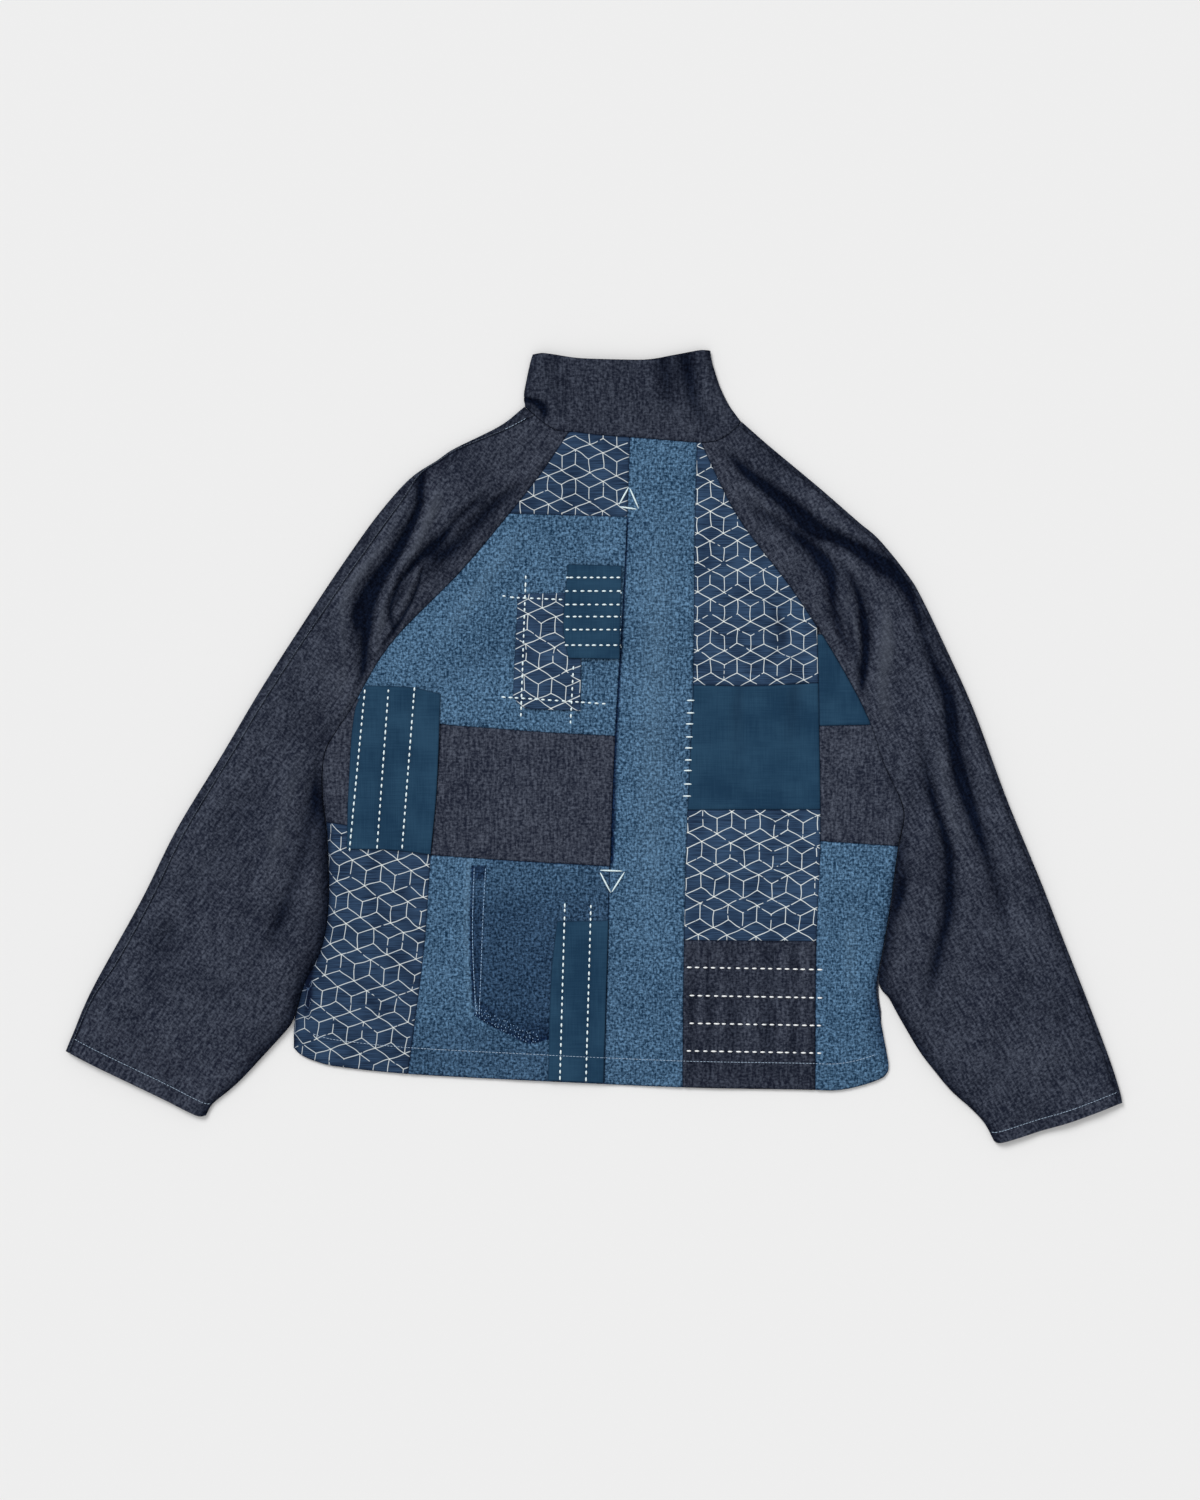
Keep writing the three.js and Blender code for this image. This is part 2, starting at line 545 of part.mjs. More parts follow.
// The band's front ends follow the fronts' neckline down to the centre front.
function bandEnd(edge, inward) {
  const middle = centreFront(frontNeck(centreFront(270)));
  const dip = (x) => Math.exp(-(((x - middle) / 50) ** 2));
  const high = (x) => collarTop(x) - 2 * INSIDE - FRONT_NECK_DROP * dip(x);
  const low = (x) => frontNeck(x) + 1.4 * SEAM;
  const outline = (y) => edge(y) + inward * INSIDE;
  const [top, bottom] = inward > 0 ? [388, 339] : [391, 325];
  const meets = centreAt(high(middle), inward);
  return [
    ...along(outline, top, bottom, 3, onUpright),
    ...along(low, outline(bottom) + inward * INSIDE, centreAt(low(middle), inward), 22, onAcross),
    ...along(high, meets, outline(top) + inward * INSIDE, 6, onAcross),
  ];
}
add("collar_front_left", outlineSolid(bandEnd(collarLeft, 1), DENIM), INK);
add("collar_front_right", outlineSolid(bandEnd(collarRight, -1), DENIM), INK);

export default jacket;
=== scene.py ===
"""A patched boro jacket laid out flat with its back up: denim, dyed and printed cotton, and sashiko."""

import bpy
import numpy as np
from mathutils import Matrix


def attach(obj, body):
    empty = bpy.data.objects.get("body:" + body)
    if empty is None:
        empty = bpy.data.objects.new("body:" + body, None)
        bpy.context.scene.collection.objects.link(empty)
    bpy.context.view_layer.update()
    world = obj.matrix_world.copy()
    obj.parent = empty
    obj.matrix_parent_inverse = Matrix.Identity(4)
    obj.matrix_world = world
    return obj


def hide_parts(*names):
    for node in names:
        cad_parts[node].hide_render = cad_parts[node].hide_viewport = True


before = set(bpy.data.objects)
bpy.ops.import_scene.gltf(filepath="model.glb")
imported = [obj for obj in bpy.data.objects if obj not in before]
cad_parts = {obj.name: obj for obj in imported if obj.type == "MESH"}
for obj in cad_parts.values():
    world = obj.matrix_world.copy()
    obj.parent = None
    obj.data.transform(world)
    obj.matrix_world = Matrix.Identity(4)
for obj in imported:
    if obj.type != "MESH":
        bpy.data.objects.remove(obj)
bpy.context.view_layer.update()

# The jacket's sizes are in millimetres, and go into the meshes as metres. X runs across it, Y from the
# hem to the collar and Z up from the table. Left is the side of -X, which is the wearer's left.

# --- Camera, light and table -------------------------------------------------------------------------
# The jacket lies on a pale table and is seen from straight above, through a long lens. A broad soft
# light comes from above its left shoulder, and the pale room lights it from all round.

SEEN_LENGTH = 1.5  # metres of the table that the view takes in, from top to foot
SEEN_MIDDLE = (0.006, -0.0035)  # where the camera points, in metres
LENS, SENSOR = 70, 36
camera = bpy.data.objects.new("camera", bpy.data.cameras.new("camera"))
camera.data.lens = LENS
camera.data.sensor_width = SENSOR
camera.location = (*SEEN_MIDDLE, SEEN_LENGTH * LENS / SENSOR)
bpy.context.scene.collection.objects.link(camera)
bpy.context.scene.camera = camera

window = bpy.data.objects.new("window_light", bpy.data.lights.new("window_light", "SUN"))
window.data.energy = 1.8
window.data.angle = np.radians(28)
window.rotation_euler = (np.radians(-38), np.radians(-34), 0)
bpy.context.scene.collection.objects.link(window)

room = bpy.data.worlds.new("room")
room.use_nodes = True
walls = room.node_tree.nodes["Background"].inputs
walls["Color"].default_value = (1, 1, 1, 1)
walls["Strength"].default_value = 0.625
bpy.context.scene.world = room
bpy.context.scene.view_settings.view_transform = "Standard"


def colour(code):
    """Linear colour of an sRGB hex code: ((c + 0.055) / 1.055) to the power 2.4, or c / 12.92 near black."""
    c = np.array([int(code[i:i + 2], 16) for i in (1, 3, 5)]) / 255
    linear = np.where(c <= 0.04045, c / 12.92, ((c + 0.055) / 1.055) ** 2.4)
    return (*linear, 1.0)


def node(tree, kind, feeds=None, **settings):
    """Adds a node with its settings. feeds gives an input a value, or the socket that it is linked to."""
    made = tree.nodes.new("ShaderNode" + kind)
    for name, value in settings.items():
        setattr(made, name, value)
    for name, value in (feeds or {}).items():
        if isinstance(value, bpy.types.NodeSocket):
            tree.links.new(value, made.inputs[name])
        else:
            made.inputs[name].default_value = value
    return made


def new_material(name):
    """An empty material, and its node tree."""
    material = bpy.data.materials.new(name)
    material.use_nodes = True
    material.node_tree.nodes.clear()
    return material, material.node_tree


HALF_TABLE = 30  # metres, so that its edges stay far from the jacket
table_top, tree = new_material("matt_pale_table")
paint = node(tree, "BsdfPrincipled", {"Base Color": colour("#eeeeee"), "Roughness": 0.9})
node(tree, "OutputMaterial", {"Surface": paint.outputs[0]})
corners = [(HALF_TABLE * x, HALF_TABLE * y, 0) for x, y in ((-1, -1), (1, -1), (1, 1), (-1, 1))]
table_mesh = bpy.data.meshes.new("table")
table_mesh.from_pydata(corners, [], [(0, 1, 2, 3)])
table_mesh.materials.append(table_top)
table = bpy.data.objects.new("table", table_mesh)
bpy.context.scene.collection.objects.link(table)

# --- Fronts --------------------------------------------------------------------------------------------
# Two plain panels of unwashed dark denim lie flat on the table under the back. They meet at the middle,
# and are cut to the same raglan and side lines as the back.

DENIM = 1.2  # thickness of the denim
SEAM = 0.44  # clear width between two pieces at a seam
RESTS = DENIM / 2  # height of the middle of the cloth that lies on the table
INSIDE = 1  # how far the cloth beneath stays inside the outline of the cloth above


def smooth_through(pairs):
    """
    Smooth function through [at, value] pairs: between two pairs a cubic whose end slopes come from the
    pairs on both sides, and beyond the ends a straight line.
    """
    at, value = np.array(sorted(pairs), float).T
    n = np.arange(len(at))
    before, after = np.maximum(n - 1, 0), np.minimum(n + 1, n[-1])
    slope = (value[after] - value[before]) / (at[after] - at[before])

    def curve(x):
        i = np.clip(np.searchsorted(at, x) - 1, 0, n[-1] - 1)
        step = at[i + 1] - at[i]
        t = np.clip((x - at[i]) / step, 0, 1)
        beyond = (x - at[i]) - t * step
        cubic = (value[i] * (2 * t**3 - 3 * t**2 + 1) + slope[i] * step * (t**3 - 2 * t**2 + t)
                 + value[i + 1] * (3 * t**2 - 2 * t**3) + slope[i + 1] * step * (t**3 - t**2))
        return cubic + beyond * np.where(beyond < 0, slope[i], slope[i + 1])

    return curve


def upright(points):
    """x for each y, along a line that runs up the jacket."""
    return smooth_through([(y, x) for x, y in points])


def ease(start, end, at):
    """0 below start, 1 above end, and 3t^2 - 2t^3 between them."""
    t = np.clip((at - start) / (end - start), 0, 1)
    return t * t * (3 - 2 * t)


def mix(a, b, share):
    """a where share is 0, b where it is 1, and in proportion between."""
    return a + (b - a) * share


neck_seam = smooth_through([
    (-69, 339), (-51, 324), (-38, 316), (-20, 314), (9, 311), (72, 306), (103, 303.5), (121, 305),
    (136, 313), (147, 324),
])
LEFT_ARMPIT = (-268, -5)
RIGHT_ARMPIT = (309, -64)
LEFT_RAGLAN = [(-25, 314), (-61, 262), (-134, 174), (-202, 104), (-243, 37), LEFT_ARMPIT]
RIGHT_RAGLAN = [(107, 303), (144, 229), (200, 154), (243, 87), (274, 28), (289, -16), RIGHT_ARMPIT]
LEFT_SIDE = [(-271, -44), (-266, -90), (-265, -157), (-272, -200), (-287, -230), (-299, -276), (-300, -301)]
RIGHT_SIDE = [(304, -98), (296, -158), (289, -200), (282, -240), (286, -272), (294, -316), (294, -324)]
left_edge = upright(LEFT_RAGLAN + LEFT_SIDE)
right_edge = upright(RIGHT_RAGLAN + RIGHT_SIDE)
hem = smooth_through([
    (-300, -301), (-294, -307), (-282, -313), (-261, -319), (-186, -327), (-46, -334.5), (89, -340.5),
    (221, -343), (241, -343.5), (264, -339.5), (289, -330.5), (294, -324),
])
centre_front = upright([(35, 270), (16, -30), (-3, -338)])
FRONT_NECK_DROP = 34


def front_neck(x):
    """Neckline of the fronts: the neck seam, less a drop times the squared sine of the way across it."""
    across = np.clip((x - LEFT_RAGLAN[0][0]) / (RIGHT_RAGLAN[0][0] - LEFT_RAGLAN[0][0]), 0, 1)
    return neck_seam(x) - FRONT_NECK_DROP * np.sin(np.pi * across) ** 2


def four_sided(left, right, low, high, us, vs, gap=SEAM):
    """
    Plan of a piece between four seams. Each point is on the line that shares the width between left and
    right as us says, and on the one that shares the height as vs says; going to each line in turn finds
    where they cross. Half of the gap is left free at each side, measured square to the seam.
    """
    def between(f, lower, upper, at):
        a, b = (line(at) + side * gap / 2 * np.hypot(1, (line(at + 1) - line(at - 1)) / 2)
                for line, side in ((lower, 1), (upper, -1)))
        return mix(a, b, f)

    u, v = np.meshgrid(us, vs)
    y = np.full(u.shape, (low(0.0) + high(0.0)) / 2)
    x = (left(y) + right(y)) / 2
    for _ in range(30):
        y = between(v, low, high, x)
        x = between(u, left, right, y)
    return x, y


def spaced(length, step, close=(0, 0.4, 0.9, 1.6, 2.6, 4)):
    """Shares of a length: steps of about the given size, and closer ones where the edges turn over."""
    close = np.array(close)
    even = np.linspace(close[-1] + step, length - close[-1] - step, max(2, round(length / step)))
    return np.concatenate([close, even, length - close[::-1]]) / length


def soft_waves(x, y, seed, wavelength, height, count=7):
    """
    The sum of count sines of x and y, each in its own direction and about as long as the wavelength,
    whose heights together come to about the given height.
    """
    draw = np.random.default_rng(seed)
    turn = draw.uniform(0, 2 * np.pi, count)
    number = 2 * np.pi / (wavelength * draw.uniform(0.7, 1.5, count))
    start = draw.uniform(0, 2 * np.pi, count)
    waves = (np.sin(k * (x * np.cos(a) + y * np.sin(a)) + p) for a, k, p in zip(turn, number, start))
    return height * sum(waves) / np.sqrt(count)


def shaded(tree, dyed, wear_and_highlight=None):
    """
    Colour of a cloth with its shade: below 0 it is multiplied by a deep blue, as painted shade in the hollows
    of folds, at seams and along edges, and as the real darker dye of the pocket's mark. Above 0 it turns to
    the paler colour, if there is one, as painted highlight on ridges and as real wear where the cloth is
    rubbed.
    """
    shade = node(tree, "Attribute", attribute_name="shade").outputs["Fac"]
    deep = node(tree, "MapRange", {0: shade, 1: 0.0, 2: -1.0})
    sunk = node(tree, "Mix", {0: deep.outputs[0], 6: dyed, 7: colour("#475c7e")}, data_type="RGBA",
                blend_type="MULTIPLY")
    if wear_and_highlight is None:
        return sunk.outputs[2]
    raised = node(tree, "MapRange", {0: shade, 1: 0.0, 2: 1.0})
    rubbed_and_highlit = node(tree, "Mix", {0: raised.outputs[0], 6: sunk.outputs[2], 7: colour(wear_and_highlight)}, data_type="RGBA")
    return rubbed_and_highlit.outputs[2]


def cloth_surface(tree, tint, relief, strength, depth, roughness=0.85, gloss=0.1):
    """The matt surface of a cloth: its colour, and the relief of its yarns, depth metres deep."""
    bump = node(tree, "Bump", {"Strength": strength, "Distance": depth, "Height": relief})
    surface = node(tree, "BsdfPrincipled", {
        "Base Color": tint, "Roughness": roughness, "Specular IOR Level": gloss, "Normal": bump.outputs[0],
    })
    node(tree, "OutputMaterial", {"Surface": surface.outputs[0]})


RIB_LEAN = 1.73  # tangent of the 60 degrees that the twill's ribs lean at
RIB_RISE = 0.0032  # metres up a warp yarn from rib to rib, which puts the ribs 1.6 mm apart


def denim(name, ground, fleck, wear_and_highlight, marks, contrast, sparse):
    """
    Indigo denim, woven three over one: dark warp with pale weft flecks between. Its tone is a sum of
    noises, raised to the power sparse, which keeps the pale flecks few, and goes from ground to fleck. For
    each noise, marks holds the width and length of its marks in mm, and its weight.
    """
    material, tree = new_material(name)
    cloth = node(tree, "UVMap", uv_map="cloth").outputs[0]
    total = 0.0
    for wide, long, weight in marks:
        size = node(tree, "Mapping", {"Vector": cloth, "Scale": (1000 / wide, 1000 / long, 1)})
        noise = node(tree, "TexNoise", {"Vector": size.outputs[0], "Scale": 1, "Detail": 2, "Roughness": 0.6},
                     noise_dimensions="2D")
        about_zero = node(tree, "Math", {0: noise.outputs[0], 1: 0.5}, operation="SUBTRACT")
        added = node(tree, "Math", {0: about_zero.outputs[0], 1: weight, 2: total}, operation="MULTIPLY_ADD")
        total = added.outputs[0]
    spread = node(tree, "MapRange", {0: total, 1: -contrast, 2: contrast})
    tone = node(tree, "Math", {0: spread.outputs[0], 1: sparse}, operation="POWER")
    woven = node(tree, "Mix", {0: tone.outputs[0], 6: colour(ground), 7: colour(fleck)}, data_type="RGBA")
    # The twill's ribs are drawn twice as coarse as the real ones.
    across, along = node(tree, "SeparateXYZ", {0: cloth}).outputs[:2]
    lean = node(tree, "Math", {0: across, 1: RIB_LEAN, 2: along}, operation="MULTIPLY_ADD")
    phase = node(tree, "Math", {0: lean.outputs[0], 1: 2 * np.pi / RIB_RISE}, operation="MULTIPLY")
    ribs = node(tree, "Math", {0: phase.outputs[0]}, operation="SINE")
    rough = node(tree, "Math", {0: total, 1: 9.0, 2: ribs.outputs[0]}, operation="MULTIPLY_ADD")
    cloth_surface(tree, shaded(tree, woven.outputs[2], wear_and_highlight), rough.outputs[0], 0.35, 0.0003, 0.95, 0.06)
    return material


# Unwashed indigo denim: ink blue, with grey weft flecks and long streaks. Its marks are the mottles of the
# twill, short runs of warp and of weft, long streaks, patches and slow clouds, and the finest of them are
# about twice the real yarns' size.
# Its paler colour is painted highlight, on the ridges of folds and the crests of puckers and waves.
dark_denim = denim("unwashed_indigo_denim", ground="#1a1f2e", fleck="#505664", wear_and_highlight="#535964", contrast=0.11,
                   sparse=1.5,
                   marks=[(2.8, 2.8, 0.37), (2.5, 10, 0.2), (5, 1.8, 0.2), (2.8, 28, 0.16), (9, 16, 0.08),
                          (60, 60, 0.1)])


APART = 0.61  # metres of cloth between the places that two pieces were cut from


def cloth(name, node_name, slot, material, x, y, z, shade=0.0, grain=0.0, thickness=DENIM, pattern=None,
          rests_on=("table",)):
    """
    A piece of cloth: a grid of points x, y, z with a wall of the given thickness round it. Its map runs
    along the yarns, in metres, at the grain's angle to Y. shade is painted shade below 0, in hollows, at
    seams and at folds, and painted highlight above 0, on ridges; it also carries the real darker dye of the
    pocket's mark and real wear where the cloth is rubbed. pattern, if any, gives the place in a printed
    repeat.
    """
    rows, columns = x.shape
    at = np.stack(np.broadcast_arrays(x, y, z), -1).reshape(-1, 3) / 1000
    first = (np.arange(rows - 1)[:, None] * columns + np.arange(columns - 1)).ravel()
    faces = np.stack([first, first + 1, first + columns + 1, first + columns], -1)
    if np.cross(at[faces[:, 1]] - at[faces[:, 0]], at[faces[:, 3]] - at[faces[:, 0]])[:, 2].sum() < 0:
        faces = faces[:, ::-1]
    mesh = bpy.data.meshes.new(name)
    mesh.from_pydata(at, [], faces)
    mesh.polygons.foreach_set("use_smooth", np.ones(len(faces), bool))
    turn = np.radians(grain)
    offset = APART * len(bpy.data.meshes)
    across = at[:, 0] * np.cos(turn) + at[:, 1] * np.sin(turn) + offset
    along = at[:, 1] * np.cos(turn) - at[:, 0] * np.sin(turn) + offset
    yarns = mesh.uv_layers.new(name="cloth")
    yarns.uv.foreach_set("vector", np.stack([across, along], -1)[faces.ravel()].ravel())
    shades = mesh.attributes.new("shade", "FLOAT", "POINT")
    shades.data.foreach_set("value", np.broadcast_to(shade, x.shape).astype(np.float32).ravel())
    if pattern is not None:
        repeat = mesh.attributes.new("repeat", "FLOAT_VECTOR", "POINT")
        flat_place = np.stack([*pattern, np.zeros(x.shape)], -1)
        repeat.data.foreach_set("vector", flat_place.astype(np.float32).ravel())
    mesh.materials.append(material)
    piece = bpy.data.objects.new(name, mesh)
    bpy.context.scene.collection.objects.link(piece)
    wall = piece.modifiers.new("wall", "SOLIDIFY")
    wall.thickness = thickness / 1000
    wall.offset = 0
    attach(piece, "root")
    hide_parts(node_name)


UNDER_SLEEVE = 2.5  # how far a front passes the side fold where a sleeve lies against the body

for side, edge, inward in (("left", left_edge, 1), ("right", right_edge, -1)):
    def outer_line(y, edge=edge, inward=inward):
        """Just inside the side fold near the hem, and just past it higher up, where a sleeve hides it."""
        return edge(y) + inward * mix(INSIDE, -UNDER_SLEEVE, ease(-282, -266, y))

    lines = (outer_line, centre_front) if inward > 0 else (centre_front, outer_line)
    x, y = four_sided(*lines, lambda x: hem(x) + 2 * INSIDE, front_neck, spaced(300, 7), spaced(640, 7))
    lift = np.maximum(soft_waves(x, y, 3, 90, 0.25), 0) * ease(0, 30, np.abs(x - edge(y)))
    cloth(f"front_{side}_panel", f"front_{side}", "dark_denim", dark_denim, x, y, RESTS + lift)

# --- The back ------------------------------------------------------------------------------------------
# Fourteen pieces of old denim and cotton are seamed edge to edge. Each seam is pressed open, so the
# cloth turns down into it and stands a little higher over the seam allowance on both sides of it.

BACK = 4.2  # height of the middle of the back's cloth, over the fronts
FOLD_END = 1.6  # height at which upper cloth ends at a side fold, just over the lower cloth
HEM_DROP = 1.4  # how far the back's hem lies below the rest of the back
HEM_FADE = 34  # depth over which the back comes down to its hem
SIDE_ROLL = 15  # width over which the back rolls down at the side folds
ARMPIT_FADE = 44  # length below the armpit over which that roll starts
ALLOWANCE = 9  # width of the cloth turned under at a seam
TUCK_LAP = 3  # how far the centre strip runs in under the tuck on its left
TUCK_STEP = 1.6  # and how far it lies below it there
TUCK_FOOT, TUCK_TOP = -120, 228  # the ends of the tuck

strip_left = upright([(36, 308), (33, 229), (28, 127), (21, 10), (16, -120), (10, -337)])
strip_right = upright([(103, 303.5), (101, 231), (99, 61), (93.5, -63), (90, -193), (88.5, -341)])
left_column = upright([(-153, 49), (-153, 21.5), (-163, -108), (-170, -203), (-186, -327)])
right_column = upright([(223, 114), (225, 20), (226, -94), (222, -194), (221, -343)])
under_print_left = smooth_through([(-83, 232.5), (34, 229.5)])
over_dark_left = smooth_through([(-237, 47.5), (-195, 31), (-153, 22.5), (-100, 18), (-46, 14), (21, 10.5)])
under_dark_left = smooth_through([(-163, -108.5), (-74, -114.5), (16, -119.5)])
under_dark_side = smooth_through([(-267, -75.5), (-162, -91.5)])
under_print_right = smooth_through([(99, 61.5), (156, 60.5), (223, 63.5)])
under_teal_right = smooth_through([(93.5, -63.5), (225, -63)])
under_print_low = smooth_through([(90, -193.5), (222, -194.5)])
under_teal_corner = smooth_through([(225, 20.5), (276, 21.5)])
under_dark_right = smooth_through([(226, -94.5), (304, -99.5)])
teal_corner_top = smooth_through([(223, 112), (226, 112)])


def quarter_round(distance, width):
    """0 at a fold, rising along a quarter of a circle to 1 at the given width from it."""
    d = np.clip(distance / width, 0, 1)
    return np.sqrt(1 - (1 - d) ** 2)


def tuck_step(y):
    """How far the centre strip lies below the tuck, which closes at both ends."""
    return TUCK_STEP * ease(TUCK_FOOT, TUCK_FOOT + 16, y) * (1 - ease(TUCK_TOP - 16, TUCK_TOP, y))


def under_tuck(y):
    """The hidden edge of the centre strip, which runs in under the tuck where the tuck is open."""
    return strip_left(y) - TUCK_LAP * ease(TUCK_FOOT + 20, TUCK_FOOT + 40, y) * (
        1 - ease(TUCK_TOP - 40, TUCK_TOP - 20, y))


def fold(x, y, path):
    """
    Height and painted shade that a soft fold adds: shade below 0 is painted in its hollow, and above 0 is
    painted highlight on its ridge. Each row of its path is x, y, half width, rise and shade. A place takes
    the values of the path's nearest point, times exp(-d^2), d being its distance from there in half widths.
    """
    path = np.array(path, float)
    steps = np.linspace(0, len(path) - 1, 6 * len(path))
    smooth = [smooth_through(list(enumerate(column)))(steps) for column in path.T]
    smooth = np.stack(smooth, -1)
    near = np.full(x.shape, np.inf)
    rise, tone = np.zeros(x.shape), np.zeros(x.shape)
    for a, b in zip(smooth[:-1], smooth[1:]):
        run = (b - a)[:2]
        share = np.clip(((x - a[0]) * run[0] + (y - a[1]) * run[1]) / (run @ run), 0, 1)
        away = np.hypot(x - a[0] - share * run[0], y - a[1] - share * run[1]) / mix(a[2], b[2], share)
        bell = np.exp(-away**2)
        rise = np.where(away < near, mix(a[3], b[3], share) * bell, rise)
        tone = np.where(away < near, mix(a[4], b[4], share) * bell, tone)
        near = np.minimum(near, away)
    return rise, tone


def folded(x, y, paths):
    """The heights and shades of several folds, added together."""
    made = [fold(x, y, path) for path in paths]
    return sum(rise for rise, _ in made), sum(tone for _, tone in made)


# Main creases of the back: x, y, half width, rise, and shade, painted dark in hollows and light on ridges.
BACK_FOLDS = [
    # The side curls under above the left hem.
    [(-276, -206, 2.6, -0.4, -0.2), (-283, -220, 3, -1.2, -1), (-284, -240, 3.2, -1.5, -1.2),
     (-285, -256, 3.2, -1.3, -1.1), (-288, -268, 3.2, -0.5, -0.4), (-291, -276, 3, -0.1, 0)],
    # Below the right armpit the print is drawn in, and the folds run on down into the teal cotton.
    [(172, 152, 3, -0.3, -0.1), (184, 128, 4, -1.1, -0.5), (189, 108, 5, -1.2, -0.5),
     (180, 88, 4, -0.3, -0.1)],
    [(206, 108, 6, -0.3, 0), (203, 70, 7, -0.9, -0.25), (198, 30, 9, -0.7, -0.2), (196, -20, 9, -0.1, 0)],
    [(150, 70, 5, -0.2, 0), (144, 45, 6, -0.8, -0.25), (143, 5, 8, -0.6, -0.15), (146, -40, 9, -0.1, 0)],
    # Soft dents in the light denim over the right hem.
    [(262, -150, 8, 0.2, 0), (256, -200, 9, 0.8, 0.15), (258, -260, 9, 0.7, 0.1), (268, -310, 7, 0.1, 0)],
    [(280, -230, 5, -0.1, 0), (276, -262, 7, -0.8, -0.3), (284, -300, 7, -0.5, -0.2)],
    # The yoke is pulled towards the left sleeve.
    [(-62, 232, 5, 0.1, 0), (-92, 188, 8, 0.6, 0.1), (-128, 140, 8, 0.5, 0.1), (-160, 100, 7, 0, 0)],
    [(-70, 120, 9, 0, 0), (-110, 90, 10, -0.6, -0.1), (-160, 60, 10, -0.4, -0.1), (-190, 46, 8, 0, 0)],
    # The centre strip swells a little over the tuck.
    [(70, 250, 16, 0.1, 0), (62, 120, 16, 0.8, 0.1), (58, -60, 16, 0.6, 0.1), (50, -200, 14, 0.3, 0)],
]


def back_height(x, y):
    """
    Middle of the back's cloth: level, lower towards the hem, and rolled down to the fronts along quarter
    rounds at the side folds below the armpits. Soft waves and the main creases lie over that.
    """
    level = BACK - HEM_DROP * (1 - ease(0, HEM_FADE, y - hem(x)))
    rolls = ((LEFT_ARMPIT, x - left_edge(y)), (RIGHT_ARMPIT, right_edge(y) - x))
    left, right = (ease(0, ARMPIT_FADE, armpit[1] - y) * (1 - quarter_round(distance, SIDE_ROLL))
                   for armpit, distance in rolls)
    waves = soft_waves(x, y, 11, 110, 0.35) + soft_waves(x, y, 12, 34, 0.1)
    calm = 1 - np.maximum(left, right)
    height = FOLD_END + (level - FOLD_END) * (1 - left) * (1 - right)
    return height + calm * (waves + folded(x, y, BACK_FOLDS)[0])


def to_seams(x, y, left, right, low, high):
    """Distances from the four seams of a piece, each measured square to the seam."""
    def lean(line, at):
        return np.hypot(1, (line(at + 1) - line(at - 1)) / 2)

    return ((x - left(y)) / lean(left, y), (right(y) - x) / lean(right, y),
            (y - low(x)) / lean(low, x), (high(x) - y) / lean(high, x))


SEAM_DROP = 0.75  # how far the cloth turns down into a seam
SEAM_RISE = 0.28  # how far the allowance under it lifts the cloth beside it
PUCKER = 0.13  # height of the puckers beside it
SEAM_SHADE = 0.75


def pressed(distance, seed, along):
    """
    Height and painted shade beside a seam: the cloth turns down into it within 2 mm, is raised by the
    allowance under it as far as that reaches, and is drawn into small puckers about 9 mm apart. The seam's
    line is painted dark, as shade.
    """
    down = -SEAM_DROP * np.exp(-distance / 0.8)
    over = SEAM_RISE * ease(0.6, 2.4, distance) * (1 - ease(ALLOWANCE - 2, ALLOWANCE + 2, distance))
    pucker = PUCKER * np.exp(-(distance / 6) ** 2) * np.sin(along * 0.7 + 1.7 * np.sin(along * 0.13 + seed))
    return down + over + pucker, -SEAM_SHADE * np.exp(-(distance / 0.9) ** 2)


# Washed denim: mottled mid blue, the white weft showing wherever the dye has worn off the warp.
# Its paler colour is painted highlight on raised folds, and real wear round the pocket's mark.
light_denim = denim("washed_denim", ground="#142f48", fleck="#688eb0", wear_and_highlight="#7493ac", contrast=0.115,
                    sparse=1.5,
                    marks=[(2.6, 2.6, 0.41), (1.6, 5, 0.22), (5, 1.6, 0.22), (2, 22, 0.06), (8, 10, 0.06),
                           (50, 50, 0.08)])


def plain_cotton(name, ground, raised):
    """
    Plain-woven cotton, dyed in the piece: an even colour with a faint cross of thicker yarns, and a fine
    weave that shows only as softness.
    """
    material, tree = new_material(name)
    woven = node(tree, "UVMap", uv_map="cloth").outputs[0]
    clouds = node(tree, "TexNoise", {"Vector": woven, "Scale": 1000 / 45, "Detail": 3}, noise_dimensions="2D")
    # Thick yarns are 0.9 mm wide and 30 mm long, about twice the real width.
    runs = []
    for scale in ((1000 / 30, 1000 / 0.9, 1), (1000 / 0.9, 1000 / 30, 1)):
        run = node(tree, "Mapping", {"Vector": woven, "Scale": scale})
        yarns = node(tree, "TexNoise", {"Vector": run.outputs[0], "Scale": 1, "Detail": 1},
                     noise_dimensions="2D")
        runs.append(yarns.outputs[0])
    both = node(tree, "Math", {0: runs[0], 1: runs[1]}, operation="ADD")
    thick = node(tree, "MapRange", {0: both.outputs[0], 1: 0.75, 2: 1.25})
    slow = node(tree, "MapRange", {0: clouds.outputs[0], 1: 0.3, 2: 0.7})
    tone = node(tree, "Math", {0: thick.outputs[0], 1: 0.55, 2: slow.outputs[0]}, operation="MULTIPLY_ADD")
    share = node(tree, "MapRange", {0: tone.outputs[0], 1: 0.2, 2: 1.35})
    dyed = node(tree, "Mix", {0: share.outputs[0], 6: colour(ground), 7: colour(raised)}, data_type="RGBA")
    cloth_surface(tree, shaded(tree, dyed.outputs[2]), both.outputs[0], 0.25, 0.0002)
    return material


teal_cotton = plain_cotton("teal_dyed_cotton", "#17354e", "#26465f")


